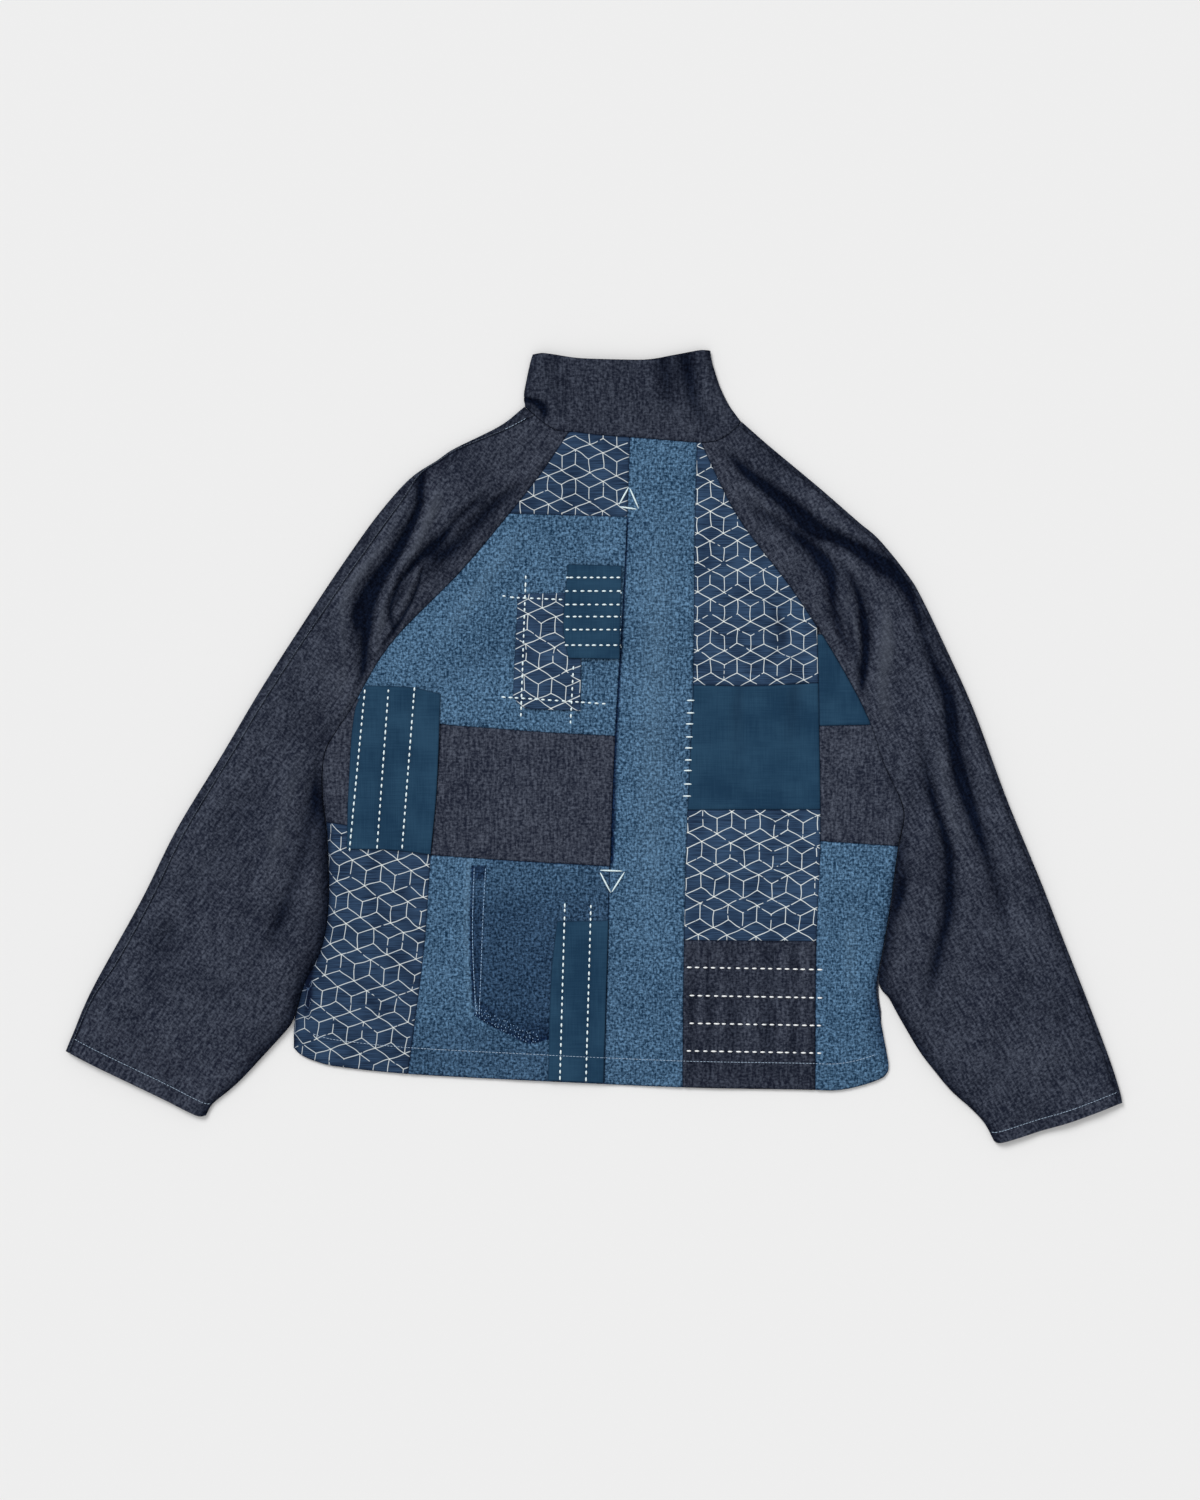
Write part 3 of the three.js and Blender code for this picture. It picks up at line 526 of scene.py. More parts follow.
def printed_cotton_cloth():
    """
    Navy slub cotton printed with a lattice of cubes in cream. In the repeat's own units, x counts columns
    and y counts rows downwards. t is 0 on even columns and 1 on odd ones, straight between. The lines are
    three zigzags, y = t/4, y = 1/2 + t/4 and y = -t/4, and an upright in each column: from 0 to 1/2 on
    even ones and from 1/4 to 3/4 on odd ones.
    """
    COLUMN = 14  # mean width of a column
    ROW = 30  # mean height of a row
    LINE = 0.35  # half the width of a printed line
    SOFT = 0.15  # half the width of its soft edge
    material, tree = new_material("printed_slub_cotton")
    woven = node(tree, "UVMap", uv_map="cloth").outputs[0]
    # Thick weft yarns, 0.8 mm wide and 26 mm long.
    run = node(tree, "Mapping", {"Vector": woven, "Scale": (1000 / 26, 1000 / 0.8, 1)})
    yarns = node(tree, "TexNoise", {"Vector": run.outputs[0], "Scale": 1, "Detail": 2}, noise_dimensions="2D")
    clouds = node(tree, "TexNoise", {"Vector": woven, "Scale": 1000 / 30, "Detail": 2}, noise_dimensions="2D")
    tone = node(tree, "Math", {0: clouds.outputs[0], 1: 0.5, 2: yarns.outputs[0]}, operation="MULTIPLY_ADD")
    share = node(tree, "MapRange", {0: tone.outputs[0], 1: 0.55, 2: 0.98})
    navy = node(tree, "Mix", {0: share.outputs[0], 6: colour("#192a42"), 7: colour("#37506e")},
                data_type="RGBA")

    def away(value, middle, half):
        """Distance from the nearest of the places that lie 2 * half apart, one of them at the middle."""
        wrapped = node(tree, "Math", {0: value, 1: middle + half, 2: middle - half}, operation="WRAP")
        off = node(tree, "Math", {0: wrapped.outputs[0], 1: middle}, operation="SUBTRACT")
        return node(tree, "Math", {0: off.outputs[0]}, operation="ABSOLUTE").outputs[0]

    def add_line(total, off):
        """total, and 1 more where off, in mm, is inside the line."""
        line = node(tree, "MapRange", {0: off.outputs[0], 1: LINE + SOFT, 2: LINE - SOFT})
        return node(tree, "Math", {0: line.outputs[0], 1: total}, operation="ADD").outputs[0]

    repeat = node(tree, "Attribute", attribute_name="repeat")
    column, row = node(tree, "SeparateXYZ", {0: repeat.outputs["Vector"]}).outputs[:2]
    t = node(tree, "Math", {0: column, 1: 1}, operation="PINGPONG").outputs[0]
    square_to_line = ROW / np.hypot(1, ROW / 4 / COLUMN)
    total = 0.0  # how many lines cover a place
    for start, slope in ((0, 0.25), (0.5, 0.25), (0, -0.25)):
        below = node(tree, "Math", {0: t, 1: -slope, 2: row}, operation="MULTIPLY_ADD")
        height = away(below.outputs[0], start, 0.5)
        total = add_line(total, node(tree, "Math", {0: height, 1: square_to_line}, operation="MULTIPLY"))
    for start, middle in ((0, 0.25), (1, 0.5)):
        aside = node(tree, "Math", {0: away(column, start, 1), 1: COLUMN}, operation="MULTIPLY")
        past = node(tree, "Math", {0: away(row, middle, 0.5), 1: 0.25}, operation="SUBTRACT")
        past = node(tree, "Math", {0: past.outputs[0], 1: ROW}, operation="MULTIPLY")
        off = node(tree, "Math", {0: aside.outputs[0], 1: past.outputs[0]}, operation="MAXIMUM")
        total = add_line(total, off)
    # The paste missed a few stretches of line, each about 8 mm long.
    missed = node(tree, "TexNoise", {"Vector": woven, "Scale": 1000 / 8.5, "Detail": 1},
                  noise_dimensions="2D")
    kept = node(tree, "MapRange", {0: missed.outputs[0], 1: 0.29, 2: 0.32})
    covered = node(tree, "Math", {0: total, 1: 1}, operation="MINIMUM")
    ink = node(tree, "Math", {0: covered.outputs[0], 1: kept.outputs[0]}, operation="MULTIPLY")
    # The paste is thickest, and palest, where lines meet.
    meeting = node(tree, "MapRange", {0: total, 1: 1.05, 2: 2.2})
    paste = node(tree, "Mix", {0: meeting.outputs[0], 6: colour("#dde5e6"), 7: colour("#fffae8")},
                 data_type="RGBA")
    printed = node(tree, "Mix", {0: ink.outputs[0], 6: navy.outputs[2], 7: paste.outputs[2]},
                   data_type="RGBA")
    relief = node(tree, "Math", {0: ink.outputs[0], 1: 0.7, 2: yarns.outputs[0]}, operation="MULTIPLY_ADD")
    cloth_surface(tree, shaded(tree, printed.outputs[2]), relief.outputs[0], 0.3, 0.0002)
    return material


printed_cotton = printed_cotton_cloth()


def in_repeat(x, y, top, column, row, slope=0.0, lean=0.0):
    """
    Place in the printed lattice. top is the upper end of an even column's upright, column and row are the
    repeat's width and height there, the rows fall by slope to the right, and the columns lean by so many
    degrees to the left going down. The cloth gives a little, so the lines waver.
    """
    x = x - top[0] + soft_waves(x, y, 41, 20, 0.5)
    y = y - top[1] + soft_waves(x, y, 42, 20, 0.5)
    across = x - y * np.tan(np.radians(lean))
    down = -y - slope * x
    return across / column, down / row


FINISHES = {
    "dark": ("dark_denim", dark_denim), "light": ("light_denim", light_denim),
    "teal": ("teal_cotton", teal_cotton), "print": ("printed_cotton", printed_cotton),
}
UPPER_LEFT = dict(top=(-18.5, 296), column=13.8, row=28.7, slope=0.11)
UPPER_RIGHT = dict(top=(116.5, 205.5), column=13.3, row=29.3)
LOWER_RIGHT = dict(top=(109, -63.5), column=14.3, row=31, slope=0.05, lean=2)
LOWER_LEFT = dict(top=(-212, -118.5), column=15, row=32, slope=0.17, lean=6.6)


def narrower(y):
    """Right side of the upper right print: the raglan seam, or the column's seam where that is nearer."""
    return np.minimum(right_edge(y), right_column(y))


# Each piece: its seams (left, right, low, high), its finish, its size and the print's repeat.
back_pieces = {
    "back_print_upper_left": (
        (left_edge, strip_left, under_print_left, neck_seam), "print", (110, 82), UPPER_LEFT),
    "back_light_upper_left": (
        (left_edge, strip_left, over_dark_left, under_print_left), "light", (190, 210), None),
    "back_dark_middle_left": (
        (left_column, strip_left, under_dark_left, over_dark_left), "dark", (178, 130), None),
    "back_dark_side_left": (
        (left_edge, left_column, under_dark_side, over_dark_left), "dark", (105, 115), None),
    "back_print_lower_left": (
        (left_edge, left_column, hem, under_dark_side), "print", (115, 235), LOWER_LEFT),
    "back_light_lower_left": ((left_column, strip_left, hem, under_dark_left), "light", (190, 215), None),
    "back_light_centre": ((under_tuck, strip_right, hem, neck_seam), "light", (78, 645), None),
    "back_print_upper_right": (
        (strip_right, narrower, under_print_right, neck_seam), "print", (100, 240), UPPER_RIGHT),
    "back_teal_middle_right": (
        (strip_right, right_column, under_teal_right, under_print_right), "teal", (128, 125), None),
    "back_print_lower_right": (
        (strip_right, right_column, under_print_low, under_teal_right), "print", (130, 130), LOWER_RIGHT),
    "back_dark_lower_right": ((strip_right, right_column, hem, under_print_low), "dark", (132, 148), None),
    "back_teal_corner_right": (
        (right_column, right_edge, under_teal_corner, teal_corner_top), "teal", (50, 92), None),
    "back_dark_side_right": (
        (right_column, right_edge, under_dark_right, under_teal_corner), "dark", (75, 118), None),
    "back_light_side_right": ((right_column, right_edge, hem, under_dark_right), "light", (68, 240), None),
}
STEP = {"dark": 2.4, "light": 2.2, "teal": 2.4, "print": 2.2}  # of the grid
FINE_STEP = 1.4  # where the mark of the pocket needs a finer one

# The pocket that was unpicked from the lower left denim kept it from fading.
pocket_side = upright([(-122.5, -118.5), (-124.3, -188), (-121.4, -256.5), (-120, -268.5)])
pocket_hem = upright([(-107.5, -118.5), (-110, -164), (-111.5, -200), (-112.7, -235), (-114, -264)])
pocket_foot = smooth_through([
    (-126, -264), (-118, -269.5), (-101.5, -280), (-86, -287), (-74, -293.5), (-62, -296.5), (-46, -292.5),
])
POCKET_HEM = 18  # depth of the foot's turned-under edge
POCKET_TOP = -118.5


def pocket_mark(x, y):
    """
    Shade of the mark: dark inside, more so over the turned-under edges and along their rim, and paler
    than the cloth around it just outside.
    """
    across, up = x - pocket_side(y), y - pocket_foot(x)
    side = 1 - ease(-0.5, 1.5, x - pocket_hem(y))
    below_top = 1 - side * ease(POCKET_TOP - 1, POCKET_TOP + 1, y)
    within = ease(-0.9, 0.9, across) * ease(-0.9, 0.9, up) * below_top
    foot = 1 - ease(-1.5, 1, up - POCKET_HEM - 0.06 * across)
    rim = np.exp(-((across - 1) / 1.5) ** 2) + np.exp(-((up - 1) / 1.5) ** 2)
    deep = mix(0.54, 0.3, ease(-175, -120, y)) + 0.18 * side + 0.22 * rim
    deep = deep + mix(0.2, 0.02, ease(-112, -84, x)) * foot
    deep = deep + 0.35 * side * ease(-134, -131, y)  # the tack at the top of the side
    # The pale spot at the tack and the paler band round the mark are real wear.
    wear_and_highlight = 0.8 * np.exp(-(((x + 118.5) / 2.5) ** 2) - ((y + 261) / 8) ** 2)  # and the one at its foot
    outside = np.minimum(across, up)
    rubbed_and_highlit = 0.18 * ease(-10, -1.5, outside) * (1 - ease(-1.5, 0, outside))
    return within * (wear_and_highlight - deep) + rubbed_and_highlit


def back_surface(name, x, y):
    """Height and shade of a piece of the back, with what its seams, the tuck and the pocket's mark add."""
    seams = back_pieces[name][0]
    z = back_height(x, y)
    # Painted shade in the creases' hollows and painted highlight on their ridges, and a little darker towards
    # the hem.
    shade = folded(x, y, BACK_FOLDS)[1] - 0.08 * (1 - ease(-280, -120, y))
    # Painted shade along each seam, and along the side folds below the armpits, where the cloth rolls away.
    for n, (distance, line) in enumerate(zip(to_seams(x, y, *seams), seams)):
        at_fold = ease(0, ARMPIT_FADE, LEFT_ARMPIT[1] - y) if line in (left_edge, right_edge) else 0
        rise, tone = pressed(distance, len(name) + n, y if n < 2 else x)
        z = z + rise * (1 - at_fold)
        shade = shade + tone * (1 - at_fold) - 0.6 * at_fold * np.exp(-(distance / 4) ** 2)
    if name == "back_light_centre":
        # The strip dips under the tuck, whose shadow widens from 1 mm at its top to 3 mm at its foot.
        from_tuck = x - strip_left(y)
        z = z - tuck_step(y) * (1 - ease(1, 9, from_tuck))
        open_tuck = ease(TUCK_FOOT - 4, TUCK_FOOT + 8, y) * (1 - ease(TUCK_TOP - 4, TUCK_TOP + 4, y))
        shadow = mix(3.2, 0.9, np.clip((y - TUCK_FOOT) / 350, 0, 1))
        shade = shade - 1.1 * open_tuck * (1 - ease(shadow, shadow + 1.6, from_tuck))
    if name in ("back_print_lower_left", "back_print_upper_left"):
        shade = shade - 0.12
    if name == "back_light_lower_left":
        shade = shade + pocket_mark(x, y) - 0.25 * (1 - ease(-295, -265, y))
    if name == "back_dark_lower_right":
        # Four rows of running stitch gather this piece into small upright puckers, painted lighter on their
        # crests and darker in their hollows, and the piece is a little darker all over.
        gather = np.sin(x / 4 + 1.6 * np.sin(x / 17)) * (0.6 + 0.4 * np.sin(y / 13 + x / 40))
        within = ease(0, 14, -194 - y) * ease(6, 22, y - hem(x))
        z, shade = z + 0.35 * gather * within, shade + 0.3 * gather * within - 0.2
    return z, shade


for name, (seams, finish, size, repeat) in back_pieces.items():
    slot, material = FINISHES[finish]
    step = FINE_STEP if name == "back_light_lower_left" else STEP[finish]
    x, y = four_sided(*seams, *(spaced(length, step) for length in size))
    z, shade = back_surface(name, x, y)
    pattern = None
    if repeat:
        # Where the side curls away, the pattern is squeezed towards the fold, and it is cut off by the
        # crease above the left hem.
        curl = 8 * np.exp(-(x - left_edge(y)) / 8) * ease(0, ARMPIT_FADE, LEFT_ARMPIT[1] - y)
        beyond = ease(-0.6, 0.6, -284 - x) * ease(-280, -262, y) * (1 - ease(-225, -212, y))
        pattern = in_repeat(x - curl + 5 * beyond, y + 8 * beyond, **repeat)
    cloth(name + "_cloth", name, slot, material, x, y, z, np.clip(shade, -1, 1), pattern=pattern,
          rests_on=("front_left", "front_right"))

# --- Patches -------------------------------------------------------------------------------------------
# Four cotton patches lie over worn places in the back, their edges turned under. One of them overlaps
# another's corner. Rows of running stitch hold them down and quilt them into the cloth beneath.

COTTON = 1.0  # thickness of a patch with its turned edge
PATCH_LIFT = DENIM / 2 + SEAM + COTTON / 2

# Each patch: its sides (left, right, low, high), its finish, size, layer and the print's repeat.
patches = {
    "patch_teal_tall": (
        (upright([(-228, 61), (-239, 35), (-245, -39), (-247, -103)]),
         upright([(-153, 52.5), (-157, -43.5), (-163, -108)]),
         smooth_through([(-247, -102.5), (-202, -103.5), (-163, -108)]),
         smooth_through([(-228, 61), (-181, 59), (-153, 52.5)])), "teal", (84, 165), 1, None),
    "patch_print_small": (
        (upright([(-76, 152), (-81, 50)]), upright([(-12, 152), (-13.5, 35)]),
         smooth_through([(-81, 49), (-70, 39), (-42, 36.5), (-13.5, 35.5)]),
         smooth_through([(-76, 152), (-12, 154)])), "print", (66, 118), 1,
        dict(top=(-66, 132), column=13.9, row=30.5, slope=0.1, lean=3)),
    "patch_teal_small": (
        (upright([(-26, 182), (-31, 120), (-26, 88)]), upright([(28, 181), (25.5, 87)]),
         smooth_through([(-26, 88), (25, 87)]), smooth_through([(-26, 182), (27, 180.5)])),
        "teal", (56, 94), 2, None),
    "patch_teal_strip": (
        (upright([(-37, -174.5), (-43, -230), (-46, -334.5)]), upright([(14.5, -173.5), (9.5, -336)]),
         lambda x: hem(x) + INSIDE, smooth_through([(-37, -174.5), (15, -173.5)])),
        "teal", (54, 160), 1, None),
}
# Rows of running stitch that cross the patches: their ends, or a few points along each.
QUILTING = [
    [(-228.5, 57.5), (-244, -104.5)], [(-205, 57.5), (-216.5, -102.5)], [(-179, 59.5), (-191.5, -102.5)],
    [(-29, 168.5), (27, 168.5)], [(-29, 155), (27, 155)], [(-29, 141.5), (27, 141.5)],
    [(-29, 129.5), (27, 129.5)], [(-29, 116.5), (27, 116.5)], [(-29, 101), (27, 101)],
    [(-68, 171), (-73, 29)], [(-20.4, 80.5), (-23.5, 21.5)], [(-92, 150.5), (-79, 148.5), (-31, 146.5)],
    [(-93, 49.5), (12, 42.5)], [(-29, -155.5), (-34, -333.5)], [(-3, -157.5), (-8, -334.5)],
]


def drawn_in(x, y, rows, depth, width):
    """How far rows of running stitch pull the cloth down: depth times exp(-d^2), d in widths from a row."""
    pull = np.zeros(x.shape)
    for row in rows:
        for (ax, ay), (bx, by) in zip(row[:-1], row[1:]):
            reach = np.hypot(bx - ax, by - ay)
            run = ((x - ax) * (bx - ax) + (y - ay) * (by - ay)) / reach
            away = np.hypot(((x - ax) * (by - ay) - (y - ay) * (bx - ax)) / reach,
                            np.maximum(np.maximum(-run, run - reach), 0))
            pull = np.minimum(pull, -depth * np.exp(-(away / width) ** 2) * (0.8 + 0.2 * np.cos(run)))
    return pull


def patch_surface(name, x, y):
    """
    Height and painted shade of a patch. It lies one layer over the back, hiding the seams, and is turned
    down at its edges, puckered beside them, and drawn in along the rows of stitches. Its edges and the rows
    where the stitches draw it in are painted dark, as shade.
    """
    sides, _, _, layer, _ = patches[name]
    nearest = np.min(to_seams(x, y, *sides), axis=0)
    puckers = 0.16 * np.exp(-(nearest / 7) ** 2) * soft_waves(x, y, len(name), 9, 1)
    quilted = drawn_in(x, y, QUILTING, 0.35, 3)
    flat = back_height(x, y) + PATCH_LIFT + (layer - 1) * (COTTON + SEAM) + 0.25
    z = flat - 0.4 * np.exp(-nearest / 0.7) + puckers + quilted
    return z, -0.7 * np.exp(-(nearest / 0.8) ** 2) + 0.5 * quilted


for name, (sides, finish, size, layer, repeat) in patches.items():
    slot, material = FINISHES[finish]
    x, y = four_sided(*sides, *(spaced(length, 2) for length in size))
    pattern = in_repeat(x, y, **repeat) if repeat else None
    cloth(name + "_cloth", name, slot, material, x, y, *patch_surface(name, x, y), thickness=COTTON,
          pattern=pattern, rests_on=("back_light_upper_left", "back_light_lower_left"))

# --- Sleeves -------------------------------------------------------------------------------------------
# Each raglan sleeve is a tube of dark denim in two pieces. The upper one lies over the arm from the
# overarm seam to the raglan seam and the underarm. The lower one lies on the table, and comes up round
# the outer fold to the overarm seam. Deep folds run down from the shoulders.

WRAP = 3  # radius of the fold where the lower cloth comes up round the arm
ARM = 10.5  # height of the middle of the upper cloth along the arm
CUFF = 5.6  # and at the cuff
OUTER_ROLL = 30  # width over which the upper cloth rises from the outer fold
INNER_ROLL = 26  # and from the underarm fold; from the raglan seam it takes twice that
FILLED = 0.16  # part of the sleeve's length over which the arm fills out at either end
TURNS = 0.06  # and over which the raglan seam gives way to the underarm fold
LOWEST = 2.4  # and no hollow goes below this

# Each sleeve's folds: x, y, half width, rise and shade; their hollows are painted in shade and their ridges
# painted lighter, as highlight.
sleeves = {
    "left": dict(
        outer=[(-69, 339), (-94, 319.5), (-139, 297), (-156, 285.5), (-184, 266.5), (-215, 231.5),
               (-246, 188.5), (-279, 139.5), (-330, 60.5), (-371, -8.5), (-416, -82.5), (-452, -154.5),
               (-500, -241.5), (-520, -287.5), (-527, -304.5)],
        cuff=[(-527, -304.5), (-494, -321.5), (-438, -348.5), (-404, -365.5), (-394, -369.5), (-388, -368.5)],
        inner=[(-272, -44), (-267, -95), (-266, -160), (-273.5, -204), (-289, -235), (-297.5, -262),
               (-301.5, -275), (-309, -285), (-324, -301.5), (-349, -328.5), (-364, -342.5),
               (-381, -356.5), (-388, -368.5)],
        edge=left_edge, raglan=LEFT_RAGLAN, grain=-35.5, cuff_hem=15,
        overarm=smooth_through([(0, 12.5), (25, 7.5), (45, 5), (78, 2.8), (115, 2.2), (128, 4), (142, 7.5),
                                (160, 10.5), (200, 12), (300, 11), (469, 9), (640, 9.5), (704, 9.5),
                                (745, 5), (830, 3.5)]),
        folds=[
            # The widest hollow: narrow at the shoulder, then a bowl that parts in two above the underarm.
            [(-168, 281, 3, -0.4, -0.3), (-170, 274, 4, -2.5, -0.9), (-173, 256, 5, -4, -1.2),
             (-174, 240, 5, -4.5, -1.2), (-182, 221, 6, -4.5, -1.2), (-191, 204, 7, -5, -1.2),
             (-203, 184, 8, -5.5, -1.4), (-214, 168, 11, -6, -1.3), (-224, 150, 13, -6, -1.4),
             (-228, 135, 12, -6, -1.3), (-227, 118, 8, -5, -1.4), (-228, 103, 6, -4, -1.2),
             (-229, 88, 6, -3.5, -1), (-232, 70, 5, -2, -0.8), (-238, 54, 4, -0.6, -0.3)],
            [(-236, 140, 4, -0.6, -0.5), (-238, 129, 4, -2, -0.9), (-238, 114, 3, -1.4, -0.6),
             (-241, 98, 3, -0.2, -0.1)],
            # A sharp crease from the raglan seam, darkest where two ridges meet over it.
            [(-108, 252, 4, -0.4, -0.2), (-119, 243, 4, -2, -0.7), (-136, 228, 4, -3, -0.9),
             (-152, 209, 4.5, -4, -1.2), (-168, 194, 5.5, -4.5, -1.25), (-181, 181, 5, -4.5, -1.4),
             (-191, 169, 4.5, -4, -1.2), (-198, 155, 4, -3.5, -1.1), (-203, 140, 3.5, -3, -1.1),
             (-203, 129, 3.5, -2.5, -1), (-200, 118, 3, -1.5, -0.6)],
            # The dent beside it, drawn round by a thin crease that runs on down the raglan seam.
            [(-171, 182, 2, -0.4, -0.2), (-173, 172, 2.2, -1.6, -0.8), (-176, 160, 2.4, -2, -1),
             (-184, 142, 2.4, -2, -1), (-192, 127, 2.6, -2, -1), (-201, 113, 3, -1.8, -1),
             (-214, 91, 3, -1.2, -0.8), (-226, 72, 3, -0.6, -0.4)],
            [(-180, 170, 2, -0.3, -0.2), (-186, 160, 2, -1, -0.6), (-194, 149, 2, -1.2, -0.7),
             (-197, 138, 2, -0.3, -0.2)],
            # A soft hollow beside the raglan seam.
            [(-68, 265, 5, -0.3, -0.2), (-76, 258, 6, -1.5, -0.5), (-90, 249, 7, -2.5, -0.7),
             (-102, 239, 8, -3, -0.8), (-114, 226, 9, -3, -0.8), (-130, 208, 10, -3, -0.8),
             (-142, 197, 10, -3, -0.8), (-156, 188, 9, -2.4, -0.7), (-166, 176, 6, -1, -0.4)],
            # The ridge between the wide hollow and the sharp crease.
            [(-156, 250, 6, 1, 0.2), (-160, 238, 7, 2, 0.4), (-168, 221, 7, 3, 0.55),
             (-176, 202, 7, 3.4, 0.6), (-190, 178, 6, 3.4, 0.6), (-200, 164, 6, 3.2, 0.55),
             (-209, 144, 6, 3, 0.55), (-212, 129, 6, 2.6, 0.5), (-218, 109, 6, 2.2, 0.4),
             (-223, 90, 5, 1, 0.2)],
            # Its neighbour, up to the raglan seam.
            [(-126, 240, 4, 0.8, 0.2), (-146, 218, 4, 1.4, 0.3), (-158, 204, 3.5, 1.6, 0.3),
             (-170, 189, 3, 1.2, 0.3), (-178, 172, 3, 1.4, 0.4), (-186, 151, 3, 1.4, 0.4),
             (-194, 134, 3, 1, 0.3)],
            # The ridge outside the widest hollow.
            [(-192, 240, 5, 0.6, 0.1), (-202, 214, 6, 1.6, 0.3), (-218, 190, 6, 2.2, 0.45),
             (-236, 166, 6, 2.8, 0.55), (-248, 144, 7, 2.8, 0.55), (-251, 122, 7, 2.2, 0.45),
             (-250, 98, 8, 1.2, 0.25), (-256, 60, 9, 0.3, 0.05)],
            # A shallow trough down the underarm.
            [(-262, 26, 5, -0.3, -0.1), (-268, 5, 7, -1.4, -0.4), (-276, -32, 9, -2.2, -0.5),
             (-283, -66, 9, -2.4, -0.55), (-291, -108, 9, -2, -0.45), (-303, -146, 8, -2.2, -0.5),
             (-311, -166, 8, -2.6, -0.65), (-318, -184, 7, -2.2, -0.55), (-326, -208, 6, -0.6, -0.15)],
            [(-292, 4, 8, 0.4, 0.05), (-302, -40, 11, 1.4, 0.25), (-316, -100, 12, 1.4, 0.25),
             (-334, -170, 12, 0.5, 0.1)],
            # Dents towards the cuff.
            [(-418, -170, 8, -0.4, -0.1), (-424, -184, 10, -1.6, -0.3), (-432, -204, 8, -0.4, -0.1)],
            [(-330, 10, 12, -0.2, 0), (-352, -60, 13, -1.2, -0.15), (-384, -130, 12, -0.2, 0)],
        ]),
    "right": dict(
        outer=[(147, 324), (176, 298.5), (224, 258.5), (263, 224.5), (285, 205.5), (314, 169.5),
               (328, 145.5), (354, 91.5), (379, 35.5), (412, -53.5), (445, -133.5), (468, -192.5),
               (494, -258.5), (514, -311.5), (524, -342.5), (527, -356)],
        cuff=[(527, -356), (481, -373.5), (446, -384), (418, -393), (405, -396), (400, -394)],
        inner=[(305.5, -98), (297.5, -158), (290.5, -200), (285, -236), (295, -251.5), (306, -271.5),
               (325, -303.5), (341, -324.5), (357, -343.5), (376, -360.5), (390, -375.5), (400, -394)],
        edge=right_edge, raglan=RIGHT_RAGLAN, grain=29, cuff_hem=12,
        overarm=smooth_through([(0, 4), (800, 4)]), folds=[
            # The main hollow runs down beside the overarm seam, and on below the elbow.
            [(126, 297, 4.6, -0.4, -0.22), (137, 289, 5.8, -1.8, -0.67), (154, 272, 6.9, -3.5, -1.12),
             (174, 257, 6.9, -4.5, -1.34), (191, 244, 8, -5, -1.46), (208, 229, 10.3, -5.5, -1.46),
             (223, 216, 9.2, -5, -1.57), (241, 209, 8, -5, -1.46), (260, 200, 9.2, -5, -1.46),
             (273, 192, 10.3, -5.5, -1.46), (288, 181, 10.3, -5.5, -1.46), (300, 174, 9.2, -5, -1.57),
             (312, 158, 8, -4, -1.12), (322, 134, 6, -3, -0.8), (330, 107, 6, -3, -0.7),
             (341, 78, 7, -3.5, -0.9), (354, 46, 8, -4.5, -1.3), (358, 9, 8, -4.5, -1.3),
             (366, -30, 8, -5, -1.5), (379, -72, 7, -4, -1.1), (392, -112, 7, -3, -0.8),
             (402, -145, 7, -2, -0.6), (410, -180, 6, -1, -0.35), (416, -206, 6, -0.2, -0.1)],
            # A softer one, beside the raglan seam.
            [(150, 252, 5, -0.4, -0.1), (163, 237, 6, -1.8, -0.5), (176, 229, 7, -2.4, -0.6),
             (191, 220, 8, -3, -0.7), (204, 209, 9, -3.4, -0.9), (219, 197, 10, -3.8, -1),
             (230, 183, 10, -3.8, -1.1), (237, 166, 8, -3.6, -1), (238, 146, 7, -3.4, -0.95),
             (242, 127, 6, -3, -0.9), (247, 112, 5, -2.4, -0.8), (256, 96, 4, -1.2, -0.5),
             (262, 78, 4, -0.3, -0.1)],
            # Short creases between two ridges.
            [(240, 194, 4, -0.5, -0.2), (247, 185, 4, -1.5, -0.5), (256, 168, 4, -2.4, -0.7),
             (264, 151, 4.5, -3, -0.9), (268, 133, 5, -4, -1.1), (270, 116, 5.5, -4.6, -1.4),
             (271, 98, 5.5, -5, -1.25), (270, 81, 5, -4.4, -1.4), (268, 64, 4.5, -3, -1),
             (264, 49, 4, -0.8, -0.4)],
            [(254, 140, 2.2, -0.4, -0.2), (256, 120, 2.4, -1.2, -0.7), (260, 96, 2.4, -1.2, -0.7),
             (264, 76, 2.2, -0.3, -0.2)],
            # One down the underarm.
            [(322, 40, 5, -0.3, -0.1), (326, 14, 6, -1.4, -0.3), (331, -20, 7, -2.6, -0.6),
             (338, -51, 6, -3.6, -0.9), (348, -81, 6, -4, -1.1), (354, -105, 7, -4, -1.1),
             (355, -130, 7, -3.6, -1), (353, -166, 8, -3.4, -0.95), (343, -208, 8, -3.2, -0.9),
             (337, -236, 7, -1.8, -0.5), (332, -262, 6, -0.4, -0.1)],
            # A small dent beside the body.
            [(313, -118, 4, -0.4, -0.2), (310, -134, 6, -2, -0.6), (306, -150, 7, -2.2, -0.7),
             (300, -168, 6, -0.8, -0.3)],
            # Ridges.
            [(247, 158, 4, 0.4, 0.1), (254, 138, 5, 2, 0.4), (261, 112, 5, 2.4, 0.5),
             (262, 86, 5, 0.8, 0.2)],
            [(286, 150, 6, 0.6, 0.1), (291, 126, 7, 2.6, 0.5), (291, 96, 8, 3, 0.55),
             (288, 58, 8, 2.6, 0.45), (294, 20, 9, 1.2, 0.2), (304, -20, 9, 0.4, 0)],
            [(150, 258, 4, 0.6, 0.1), (178, 237, 5, 2, 0.35), (206, 215, 5, 2, 0.4),
             (238, 194, 6, 2.2, 0.45), (272, 168, 7, 2, 0.35), (300, 140, 6, 0.6, 0.1)],
            [(190, 262, 6, 0.6, 0.15), (222, 236, 7, 1.6, 0.35), (262, 206, 7, 1.8, 0.4),
